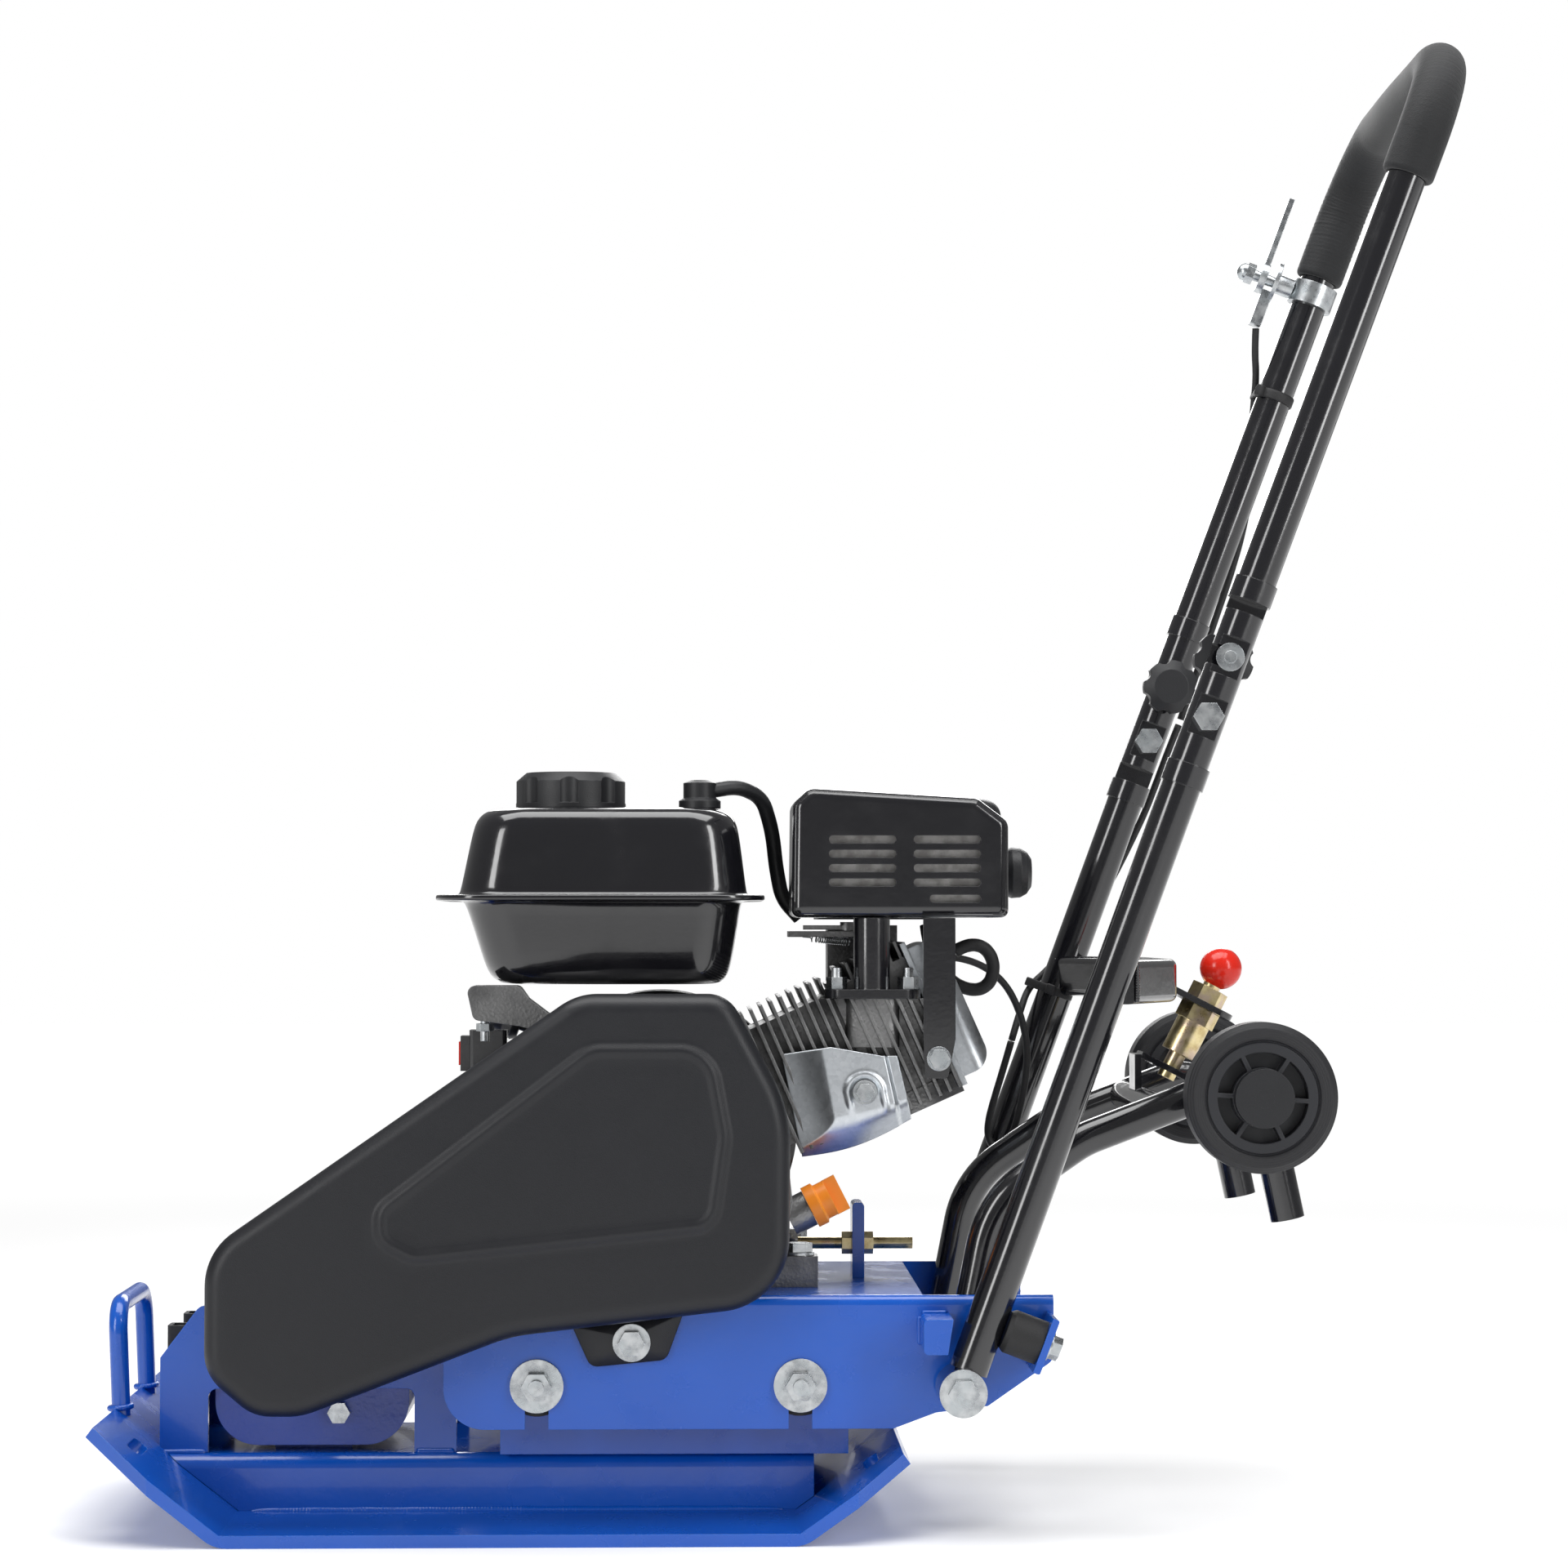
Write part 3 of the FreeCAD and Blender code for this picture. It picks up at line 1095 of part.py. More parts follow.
def lower_handle():
    """Two foot tubes with eyes on the pivot shaft and tongues at the fold."""
    foot = handle_way(13, "foot", -d.handle_half)
    top = handle_way(418, "foot", -d.handle_half)
    tube = pipe("lower_tube", [foot, top], [], "tube_radius", "tube_wall")
    plug = swept("lower_plug", [handle_way(414, "foot", -d.handle_half), top], [],
                 "tube_radius - tube_wall")
    neck = swept("lower_collar", [handle_way(404, "foot", -d.handle_half), top], [], 14)
    eye = cylinder("foot_eye", ("pivot_x", "-handle_half - 17", "pivot_z"), Y, 15, 39)
    pin_at = handle_way(d.knob_reach)
    half = tongue("lower_tongue", -33, 70, -1, True, [(-13, 13), (28, 53)])
    half = drill("lower_tongue_drilled", half, ((d.fold_x, -175, d.fold_z), Y, 5.1, 30))
    notch = doc.addObject("Part::Box", "knob_notch")
    notch.Length = 30
    notch.Width = 25
    notch.Height = 13
    turn = Rotation(Y, 20.6)
    notch_at = Vector(*pin_at) + turn.multVec(Vector(-26, 0, -7.5))
    notch.Placement = Placement(Vector(notch_at.x, -175, notch_at.z), turn)
    half = cut("lower_tongue_open", half, notch)
    bore = (("pivot_x", "-handle_half - 18", "pivot_z"), Y, "pivot_radius + 0.05", 41)
    side = drill("lower_side", fused("lower_side_solid", tube, plug, neck, eye, half), bore)
    node("lower_handle_tubes", both_sides("lower_pair", side))
    bow = prism("cross_bow", "XY", [
        (402, -148), (438, -70), (438, 70), (402, 148), (379, 148), (416, 64), (416, -64),
        (379, -148)], 334, 28, corners={40: [1, 2], 30: [5, 6]})
    round_edges(bow, 5, lambda e: abs(middle_of(e).z - 348) > 13.9
                and abs(middle_of(e).y) < 147)
    share("handle_cross_tube", bow)


def upper_handle():
    """The U-shaped upper handle with its foam grip."""
    y = d.handle_half
    legs = [handle_way(78, y=-y), handle_way(d.bar_reach, y=-y), handle_way(d.bar_reach, y=y),
            handle_way(78, y=y)]
    hoop = pipe("hoop_tube", legs, [d.bar_corner] * 2, "tube_radius", "tube_wall")
    extras = []
    pin_at = handle_way(d.knob_reach)
    for side in (-1, 1):
        name = "near" if side < 0 else "far"
        holes = [((d.fold_x, side * 150 - 15, d.fold_z), Y, 5.1, 30),
                 ((pin_at[0], side * 150 - 15, pin_at[2]), Y, 4.2, 30)]
        half = tongue("upper_tongue_" + name, -20, 90, side, False, [(-13, 13), (28, 53)])
        extras.append(drill("upper_tongue_drilled_" + name, half, *holes))
        ends = [handle_way(78, y=side * y), handle_way(92, y=side * y)]
        extras.append(swept("upper_collar_" + name, ends, [], 14))
    node("upper_handle_hoop", fused("upper_whole", hoop, *extras))
    grip = [handle_way(d.grip_start, y=-y), handle_way(d.bar_reach, y=-y),
            handle_way(d.bar_reach, y=y), handle_way(d.grip_start - 14, y=y)]
    foam = swept("foam_solid", grip, [d.bar_corner] * 2, "grip_radius")
    core = swept("foam_core", legs, [d.bar_corner] * 2, "tube_radius + 0.05")
    node("foam_grip", cut("foam_hollow", foam, core))


def fold_hardware():
    """Fold bolts with their nuts, and the star knobs with their pins."""
    at = (d.fold_x, -163.5, d.fold_z)
    screw = bolt("fold_screw", at, -Y, 5, 17, 7, 22)
    nut = hexagon("fold_nut", (d.fold_x, -146.4, d.fold_z), Y, 17, 8)
    node("fold_bolts", both_sides("fold_bolt_pair", group("fold_set", screw, nut)))
    pin_at = handle_way(d.knob_reach)
    for side, name in ((-1, "near"), (1, "far")):
        inward = Vector(0, -side, 0)
        face = side * 146.4
        seat = (pin_at[0], face, pin_at[2])
        disc = turned_part("knob_disc_" + name, [(0, 0), (8, 0), (8, 5), (19, 8), (19, 18),
                                                 (12, 22), (0, 22)], seat, inward)
        lobes = []
        for i in range(7):
            way = 2 * math.pi * i / 7
            at = (pin_at[0] + 22 * math.cos(way), face, pin_at[2] + 22 * math.sin(way))
            lobes.append(cylinder("knob_dip_%s%d" % (name, i), at, inward, 5.5, 30))
        star = cut("knob_star_" + name, disc, *lobes)
        pin = cylinder("knob_pin_" + name, (pin_at[0], side * 166.5, pin_at[2]), inward, 4, 20)
        washer = cylinder("knob_washer_" + name, (pin_at[0], side * 165.6, pin_at[2]), inward,
                          9, 1.9)
        node("fold_knob_" + name, star)
        share("fold_knob_pins", fused("knob_pin_whole_" + name, pin, washer))


def pivot_shaft():
    """The cross shaft that the handle and the wheel frame turn on."""
    rod = cylinder("pivot_rod", ("pivot_x", -172.5, "pivot_z"), Y, "pivot_radius", 345)
    washer = cylinder("pivot_washer", ("pivot_x", -175, "pivot_z"), Y, 15, 2.5)
    head = hexagon("pivot_head", ("pivot_x", -180, "pivot_z"), Y, 17, 5)
    spacer = turned_part("pivot_spacer", [("pivot_radius", 0), (13, 0), (13, 8.6),
                                          ("pivot_radius", 8.6)],
                         ("pivot_x", "-deck_half", "pivot_z"), -Y)
    ends = both_sides("pivot_ends", fused("pivot_end", washer, head, spacer))
    node("pivot_shaft", fused("pivot_whole", rod, ends))


def throttle_control():
    """Clamp, lever and dome nut on the far tube, below the foam grip."""
    at = Vector(*handle_way(342, y=d.handle_half))
    aim = Vector(math.sin(math.radians(20.6)), 0, math.cos(math.radians(20.6)))
    out = Vector(-aim.z, 0, aim.x)
    ring = turned_part("clamp_ring", [(12.55, -8), (16, -8), (16, 8), (12.55, 8)], at, aim)
    ear = cylinder("clamp_ear", at + out * 15.4, out, 7, 12)
    disc = cylinder("clamp_disc", at + out * 27.4, out, 15, 3)
    hook = block("clamp_hook", (0, 0, 0), (8, 12, 26))
    turn = Rotation(Y, 20.6)
    hook.Placement = Placement(at + out * 32 + turn.multVec(Vector(-4, -6, -34)), turn)
    rod = cylinder("clamp_post", at + out * 30, out, 4, 16)
    dome = doc.addObject("Part::Sphere", "clamp_dome")
    dome.Radius = 6.5
    place(dome, tuple(at + out * 51))
    nut = hexagon("clamp_nut", tuple(at + out * 45), out, 13, 6)
    node("throttle_clamp", fused("clamp_whole", ring, ear, disc, rod, nut, dome, hook))
    lever_at = at + out * 36
    hub = cylinder("lever_hub", lever_at, out, 11, 5)
    blade = doc.addObject("Part::Box", "lever_arm")
    blade.Length = 4
    blade.Width = 14
    blade.Height = 58
    blade.Placement = Placement(lever_at + turn.multVec(Vector(-4.5, -7, 2)), turn)
    lever = drill("lever_drilled", fused("lever_solid", hub, blade),
                  (tuple(at + out * 30), out, 4.1, 14.5))
    node("throttle_lever", lever)


# ---------------------------------------------------------------- wheels and latch

def wheel_frame():
    """The fold-away wheel frame: two bent legs, a cross tube and the latch plate."""
    y = -d.leg_half
    leg = [(d.pivot_x + 3, y, d.pivot_z + 12.5), (313, y, 206), (372, y, 246.5), (484, y, 289),
           (503.5, y, 195.7)]
    tube = pipe("leg_tube", leg, [70, 70, 30], "leg_radius", "tube_wall")
    eye = cylinder("leg_eye", ("pivot_x", "-leg_half - 13.5", "pivot_z"), Y, 15, 27)
    shaft = [(("pivot_x", -125, "pivot_z"), Y, "pivot_radius + 0.05", 50),
             (("axle_x", -125, "axle_z"), Y, "axle_radius", 40)]
    side = drill("leg_side", fused("leg_solid", tube, eye), *shaft)
    share("wheel_frame", both_sides("leg_pair", side))
    bar = cylinder("frame_bar", (422, "-leg_half", 265.5), Y, 10, "leg_half * 2")
    centre = plunger_point(76)
    slab = doc.addObject("Part::Box", "latch_slab")
    slab.Length = 44
    slab.Width = 32
    slab.Height = 4
    turn = Rotation(Y, d.plunger_lean)
    slab.Placement = Placement(Vector(centre[0], -16, centre[2])
                               + turn.multVec(Vector(-23, 0, -2)), turn)
    post = block("latch_post", (416, -16, 272), (420.5, 16, 298))
    latch = fused("latch_solid", slab, post)
    hole = (plunger_point(60), plunger_way(), 6.6, 40)
    share("wheel_frame", drill("latch_drilled", latch, hole))
    share("wheel_frame", bar)
    axle = cylinder("axle_rod", ("axle_x", -181, "axle_z"), Y, "axle_radius - 0.03", 362)
    bush = turned_part("axle_bush", [("axle_radius", 0), (10, 0), (10, 27), ("axle_radius", 27)],
                       ("axle_x", -145.5, "axle_z"), Y)
    share("wheel_axle", axle)
    share("wheel_axle", both_sides("axle_bush_pair", bush))


def wheel(name, side):
    """A moulded wheel: tyre, hub and a web between six spokes, open on both sides."""
    half = "wheel_width / 2"
    centre = ("axle_x", "%d * wheel_mid" % side, "axle_z")
    body = turned_part(name + "_blank", [
        ("axle_radius + 0.06", -12), (34.6, -12.4), (35.2, -11.4), (35.8, -11.4),
        (36.6, "-(%s) + 0.6" % half), (38, "-(%s)" % half),
        ("wheel_radius - 4", "-(%s)" % half), ("wheel_radius", "-(%s) + 4" % half),
        ("wheel_radius", half + " - 4"), ("wheel_radius - 4", half), (38, half),
        (36.6, half + " - 0.6"), (35.8, 11.4), (35.2, 11.4), (34.6, 12.4),
        ("axle_radius + 0.06", 12)], centre, Y)
    wells = turned_part(name + "_wells", [(19, 2), (28.5, 2), (28.5, 13), (19, 13)],
                        centre, Y)
    back_wells = turned_part(name + "_back_wells", [
        (19, -13), (28.5, -13), (28.5, -2), (19, -2)], centre, Y)
    spokes = []
    for i in range(3):
        spoke = doc.addObject("Part::Box", "%s_spoke%d" % (name, i))
        spoke.Length, spoke.Width, spoke.Height = 64, 26, 2.8
        turn = Rotation(Y, 60 * i + 4)
        start = turn.multVec(Vector(-32, -13, -1.4))
        spoke.Placement = Placement(Vector(d.axle_x, side * d.wheel_mid, d.axle_z) + start,
                                    turn)
        spokes.append(spoke)
    wells = fused(name + "_well_rings", wells, back_wells)
    windows = cut(name + "_windows", wells, fused(name + "_spokes", *spokes))
    node(name, cut(name + "_open", body, windows))


def wheels():
    wheel("wheel_near", -1)
    wheel("wheel_far", 1)
    cap = cylinder("hub_cap", ("axle_x", -181, "axle_z"), Y, 18.6, 8.7)
    cap = drill("hub_cap_bored", cap, (("axle_x", -182, "axle_z"), Y, "axle_radius", 13))
    share("wheel_axle", both_sides("hub_cap_pair", cap))


def plunger_way():
    lean = math.radians(d.plunger_lean)
    return Vector(-math.sin(lean), 0, -math.cos(lean))


def plunger_point(run, y=0.0):
    """A point on the plunger's axis, a run down from the middle of its ball."""
    point = Vector(d.ball_x, y, d.ball_z) + plunger_way() * run
    return (point.x, point.y, point.z)


def latch_plunger():
    """The sprung pull pin that locks the wheel frame up, on its plate."""
    way = plunger_way()
    slab = doc.addObject("Part::Box", "plunger_slab")
    slab.Length = 62
    slab.Width = 40
    slab.Height = 4
    turn = Rotation(Y, d.plunger_lean)
    slab.Placement = Placement(Vector(*plunger_point(27.4, -20))
                               + turn.multVec(Vector(-42, 0, -2)), turn)
    plate = rounded("plunger_slab_soft", slab, 9, turn.multVec(Z))
    plate = drill("plunger_plate_drilled", plate, (plunger_point(10), way, 9.05, 40))
    share("handle_cross_tube", plate)
    upper = hexagon("plunger_hex_top", plunger_point(15), way, 22, 10.3)
    lower = hexagon("plunger_hex_low", plunger_point(29.5), way, 24, 11)
    thread = cylinder("plunger_thread", plunger_point(20), way, 9, 20)
    barrel = cylinder("plunger_barrel", plunger_point(40), way, 11.5, 24)
    whole = fused("plunger_solid", upper, lower, thread, barrel)
    node("plunger_body", drill("plunger_bored", whole, (plunger_point(5), way, 6.1, 70)))
    ball = doc.addObject("Part::Sphere", "pull_ball")
    bind(ball, "Radius", "ball_radius")
    place(ball, plunger_point(0))
    ball = drill("pull_ball_bored", ball, (plunger_point(4), way, 6, 20))
    node("plunger_ball", ball)
    node("plunger_pin", cylinder("pull_pin", plunger_point(4), way, 5.98, 78))


# ---------------------------------------------------------------- throttle cable

CABLE_UPPER = [(525.3, 156, 812.5), (525, 160, 797), (527, 166, 780), (526, 171, 762),
               (524, 173, 735), (524, 173, 706), (519, 173, 672), (509, 173, 637),
               (496, 172.5, 600), (484, 172, 566), (472, 172, 532)]
CABLE_LOWER = [(470.6, 172, 528), (462.5, 172, 508), (455, 172, 488), (446.5, 172, 466),
               (436, 172, 444), (424, 173, 420), (410, 174, 396), (395, 174, 374),
               (378, 172, 354), (361, 162, 340), (354, 148, 324), (347, 139, 303)]
CABLE_LOOP = [(346.6, 138.6, 302), (341, 138, 283), (334.5, 138, 262), (330, 137.5, 246),
              (329.5, 136.5, 234), (334.5, 131, 225.5), (341, 124.5, 226), (345.5, 121, 236),
              (350, 120.5, 251), (355, 121, 273), (357, 122, 299), (351, 121, 325),
              (339, 117, 346), (319, 108, 359), (294, 98, 363), (263.4, 90, 362)]


def throttle_cable():
    """The throttle cable in three stretches, and the ties that hold it to the handle."""
    for name, points in (("throttle_cable_upper", CABLE_UPPER),
                         ("throttle_cable_lower", CABLE_LOWER),
                         ("throttle_cable_loop", CABLE_LOOP)):
        radii = even_radii(points)
        tube = swept(name + "_tube", points, radii, "cable_radius")
        doc.recompute()
        run = Part.Wire(path_edges(points, radii)).Length
        print("%s: length %.1f, smallest radius %.1f, volume over section %.4f"
              % (name, run, min(radii), tube.Shape.Volume
                 / (math.pi * d.cable_radius ** 2 * run)))
        node(name, tube)


def build():
    base_plate()
    plate_stiffener()
    lifting_loop()
    exciter_bracket()
    front_posts()
    exciter_housing()
    exciter_inside()
    belt_drive()
    mount_rails()
    rubber_mounts()
    engine_deck()
    handle_stops()
    tension_gear()
    engine_feet()
    belt_guard()
    crankcase()
    crankshaft()
    cylinder_block()
    fuel_tank()
    tank_bracket()
    muffler()
    heat_shroud()
    intake()
    recoil_side()
    oil_filler()
    lower_handle()
    upper_handle()
    fold_hardware()
    pivot_shaft()
    throttle_control()
    wheel_frame()
    wheels()
    latch_plunger()
    throttle_cable()


def check_and_write():
    """Stops on any failed object, then writes each sub-part's own file."""
    for label, things in GROUPS.items():
        node(label, group(label + "_set", *things))
    doc.recompute()
    failed = [o.Name for o in doc.Objects
              if "Invalid" in o.State or "Error" in o.State]
    if failed:
        raise RuntimeError("failed objects: %s" % failed)
    os.makedirs("parts", exist_ok=True)
    for label, thing in NODES.items():
        shape = thing.Shape
        if shape.isNull() or not shape.isValid() or not shape.Solids:
            raise RuntimeError("bad shape: " + label)
    for label, thing in NODES.items():
        thing.Shape.exportStep("parts/%s.step" % label)
    print(len(NODES), "sub-parts written")


build()
check_and_write()
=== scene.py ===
"""The looks of a plate compactor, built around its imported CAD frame.

Metres, with +X towards the handle, -Y towards the belt guard and +Z up.
"""

import json
import math

import bmesh
import bpy
import numpy as np
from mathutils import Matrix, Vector

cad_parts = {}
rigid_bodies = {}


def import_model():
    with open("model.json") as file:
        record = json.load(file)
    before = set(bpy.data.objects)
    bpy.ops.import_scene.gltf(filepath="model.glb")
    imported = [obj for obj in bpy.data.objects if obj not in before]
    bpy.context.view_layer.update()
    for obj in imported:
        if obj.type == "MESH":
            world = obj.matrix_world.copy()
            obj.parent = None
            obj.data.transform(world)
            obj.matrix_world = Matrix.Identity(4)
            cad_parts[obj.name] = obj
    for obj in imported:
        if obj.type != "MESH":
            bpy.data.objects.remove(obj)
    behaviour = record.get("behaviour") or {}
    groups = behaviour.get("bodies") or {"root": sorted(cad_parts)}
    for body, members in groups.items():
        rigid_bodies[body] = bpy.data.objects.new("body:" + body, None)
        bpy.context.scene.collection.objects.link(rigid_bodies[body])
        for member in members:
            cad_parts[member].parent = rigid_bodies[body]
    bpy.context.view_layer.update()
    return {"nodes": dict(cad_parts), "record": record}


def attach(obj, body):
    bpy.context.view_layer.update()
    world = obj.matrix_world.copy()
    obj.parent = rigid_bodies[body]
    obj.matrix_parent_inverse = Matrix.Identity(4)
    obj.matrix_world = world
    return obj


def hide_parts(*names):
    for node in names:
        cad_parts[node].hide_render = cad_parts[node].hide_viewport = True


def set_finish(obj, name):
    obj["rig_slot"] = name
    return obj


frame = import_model()
NODES = frame["nodes"]
MM = 0.001

LEAN = math.radians(20.6)  # the handle's lean from upright
AIM = np.array([math.sin(LEAN), 0, math.cos(LEAN)])  # along the handle, upwards
OUT = np.array([-math.cos(LEAN), 0, math.sin(LEAN)])  # square to it, to the front
FOLD = np.array([445.5, 0, 515]) * MM
HANDLE_HALF = 155 * MM
TUBE_RADIUS = 12.5 * MM
TOP_BAR = 456 * MM
BAR_CORNER = 62 * MM
AXLE = (0.478, 0, 0.276)
CAMERA_PLACE = (0.1234, -2.5, 0.384)
CAMERA_SIGHT = (0.02362, 0.99900, 0.03785)
CAMERA_LENS, CAMERA_SENSOR = 85.6, 36


# ---------------------------------------------------------------- camera and cords

def add_camera():
    """The camera faces the near side, within about two degrees of square to it."""
    data = bpy.data.cameras.new("camera")
    data.lens, data.sensor_width, data.clip_end = CAMERA_LENS, CAMERA_SENSOR, 50
    camera = bpy.data.objects.new("camera", data)
    bpy.context.scene.collection.objects.link(camera)
    camera.location = CAMERA_PLACE
    sight = Vector(CAMERA_SIGHT)
    camera.rotation_euler = sight.to_track_quat("-Z", "Y").to_euler()
    bpy.context.scene.camera = camera


def nurbs_line(route):
    """The smooth line of a route: points read from the NURBS spline that has the
    route's points, given in millimetres, as its control points."""
    data = bpy.data.curves.new("route", "CURVE")
    data.dimensions = "3D"
    spline = data.splines.new("NURBS")
    spline.points.add(len(route) - 1)
    spline.points.foreach_set("co", [c for p in route
                                     for c in (p[0] * MM, p[1] * MM, p[2] * MM, 1)])
    spline.order_u = 3
    spline.use_endpoint_u = True
    spline.resolution_u = 12
    holder = bpy.data.objects.new("route", data)
    mesh = bpy.data.meshes.new_from_object(holder)
    line = np.zeros(len(mesh.vertices) * 3)
    mesh.vertices.foreach_get("co", line)
    bpy.data.objects.remove(holder)
    bpy.data.meshes.remove(mesh)
    bpy.data.curves.remove(data)
    return line.reshape(-1, 3)


def cable(name, route, body, node=None, diameter=0.005):
    """A sheathed cable: a ring carried along its route's smooth line, with a faint
    moulded wave in its sheath. It rides on one body and stands for its node, if any."""
    line = nurbs_line(route)
    wave = 1 + 0.008 * np.sin(np.arange(len(line)) * 0.9)
    piece = carried(name, line, diameter / 2 * wave[:, None, None] * circle(20)[None],
                    (0, 1, 0))
    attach(piece, body)
    if node:
        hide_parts(node)
    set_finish(piece, "rubber")


CABLE_UPPER = [(525.3, 156, 812.5), (525, 160, 797), (527, 166, 780), (526, 171, 762),
               (524, 173, 735), (524, 173, 706), (519, 173, 672), (509, 173, 637),
               (496, 172.5, 600), (484, 172, 566), (472, 172, 532)]
CABLE_LOWER = [(470.6, 172, 528), (462.5, 172, 508), (455, 172, 488), (446.5, 172, 466),
               (436, 172, 444), (424, 173, 420), (410, 174, 396), (395, 174, 374),
               (378, 172, 354), (361, 162, 340), (354, 148, 324), (347, 139, 303)]
CABLE_LOOP = [(346.6, 138.6, 302), (341, 138, 283), (334.5, 138, 262), (330, 137.5, 246),
              (329.5, 136.5, 234), (334.5, 131, 225.5), (341, 124.5, 226), (345.5, 121, 236),
              (350, 120.5, 251), (355, 121, 273), (357, 122, 299), (351, 121, 325),
              (339, 117, 346), (319, 108, 359), (294, 98, 363), (263.4, 90, 362)]


BREATHER = [(300, 44, 366), (308, 44, 371), (320, 45, 370), (327, 46, 360), (326, 48, 346),
            (317, 50, 339), (303, 52, 342), (292, 56, 352), (284, 62, 366), (282, 66, 384)]


def breather_hose():
    """The thick hose from the valve cover, round its end, up to the air cleaner."""
    cable("breather", BREATHER, "machine", diameter=0.009)


def throttle_cable():
    """The throttle cable in the three stretches that its ties part it into."""
    cable("cable_upper", CABLE_UPPER, "upper_handle", "throttle_cable_upper")
    cable("cable_lower", CABLE_LOWER, "lower_handle", "throttle_cable_lower")
    cable("cable_loop", CABLE_LOOP, "machine", "throttle_cable_loop")


# ---------------------------------------------------------------- surfaces

def surface(name, grid, around=(False, True), poles=False):
    """A mesh from a grid of points, rows by columns. around says whether the last row
    and the last column join the first; poles closes both end rows with a fan."""
    rows, columns = grid.shape[:2]
    index = np.arange(rows * columns).reshape(rows, columns)
    r, c = np.meshgrid(np.arange(rows - (not around[0])),
                       np.arange(columns - (not around[1])), indexing="ij")
    r_next, c_next = (r + 1) % rows, (c + 1) % columns
    quads = np.stack([index[r, c], index[r, c_next], index[r_next, c_next],
                      index[r_next, c]], -1).reshape(-1, 4)
    points, faces = grid.reshape(-1, 3), quads.tolist()
    if poles:
        ring = np.arange(columns)
        for row, centre in ((0, len(points)), (rows - 1, len(points) + 1)):
            rim = index[row]
            fan = np.stack([rim[ring], rim[(ring + 1) % columns],
                            np.full(columns, centre)], -1)
            faces += fan.tolist()
        points = np.vstack([points, grid[0].mean(0), grid[-1].mean(0)])
    mesh = bpy.data.meshes.new(name)
    mesh.from_pydata(points.tolist(), [], faces)
    mesh.polygons.foreach_set("use_smooth", np.ones(len(faces), bool))
    shaped = bmesh.new()
    shaped.from_mesh(mesh)
    bmesh.ops.remove_doubles(shaped, verts=shaped.verts, dist=1e-7)
    bmesh.ops.recalc_face_normals(shaped, faces=shaped.faces)
    shaped.to_mesh(mesh)
    shaped.free()
    piece = bpy.data.objects.new(name, mesh)
    bpy.context.scene.collection.objects.link(piece)
    return piece


def join(name, pieces):
    """One piece from several meshes."""
    shaped = bmesh.new()
    for piece in pieces:
        shaped.from_mesh(piece.data)
        bpy.data.objects.remove(piece)
    mesh = bpy.data.meshes.new(name)
    shaped.to_mesh(mesh)
    shaped.free()
    whole = bpy.data.objects.new(name, mesh)
    bpy.context.scene.collection.objects.link(whole)
    return whole


def unit(vectors):
    return vectors / np.linalg.norm(vectors, axis=-1, keepdims=True)


def carried(name, path, profile, up, closed=False, poles=True):
    """A profile carried along a path. Each ring is the path's point plus the profile's
    first number along the side way and its second along the lift way, both square to
    the path; profile has one ring for all, or one for each of the path's points."""
    if closed:
        along = unit(np.roll(path, -1, 0) - np.roll(path, 1, 0))
    else:
        along = unit(np.gradient(path, axis=0))
    side = unit(np.cross(along, up))
    lift = np.cross(side, along)
    grid = (path[:, None] + profile[..., :1] * side[:, None]
            + profile[..., 1:] * lift[:, None])
    return surface(name, grid, (closed, True), poles and not closed)


def circle(count, radius=1.0):
    turn = np.linspace(0, 2 * np.pi, count, endpoint=False)
    return radius * np.stack([np.cos(turn), np.sin(turn)], -1)


def even(line, count, closed=False):
    """The same line with count points, evenly spaced along it."""
    if closed:
        line = np.vstack([line, line[:1]])
    run = np.concatenate([[0], np.cumsum(np.linalg.norm(np.diff(line, axis=0), axis=1))])
    at = np.linspace(0, run[-1], count, endpoint=not closed)
    return np.stack([np.interp(at, run, line[:, i]) for i in range(line.shape[1])], -1)


def rounded_outline(corners, radii, steps=24):
    """A closed flat outline whose corners are arcs: each runs between the two points
    where a circle of the corner's radius touches its sides."""
    corners = np.array(corners, float)
    found = []
    for i, corner in enumerate(corners):
        back = unit(corners[i - 1] - corner)
        ahead = unit(corners[(i + 1) % len(corners)] - corner)
        half = math.acos(np.clip(back @ ahead, -1, 1)) / 2
        centre = corner + unit(back + ahead) * radii[i] / math.sin(half)
        start = corner + back * radii[i] / math.tan(half) - centre
        end = corner + ahead * radii[i] / math.tan(half) - centre
        swing = math.acos(np.clip(start @ end / radii[i] ** 2, -1, 1))
        t = np.linspace(0, 1, steps)[:, None]
        found.append(centre + (np.sin((1 - t) * swing) * start
                               + np.sin(t * swing) * end) / math.sin(swing))
    return np.vstack(found)


def smooth(t):
    t = np.clip(t, 0, 1)
    return t * t * (3 - 2 * t)


def on_body(piece, body, slot, *nodes):
    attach(piece, body)
    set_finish(piece, slot)
    if nodes:
        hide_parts(*nodes)


# ---------------------------------------------------------------- belt guard

GUARD = [(-183, 180), (48.5, 340.5), (144, 340.5), (183, 268), (182, 147), (8, 127),
         (-122, 77.6), (-152, 77.6), (-183, 104)]
GUARD_ROUNDS = [40, 40, 22, 90, 46, 100, 44, 30, 30]
PANEL = [(-72, 206), (58, 305), (131, 305), (141, 252), (134, 202), (126, 197),
         (-52, 178), (-72, 188)]
PANEL_ROUNDS = [12, 22, 22, 30, 14, 10, 12, 12]
GUARD_BACK, GUARD_FACE, GUARD_WALL = 127.0, 165.0, 2.4
SHOULDER, RIDGE_OUT, RIDGE_IN = 11.0, 7, 5
PANEL_RISE, PANEL_SINK = 3, 1.3


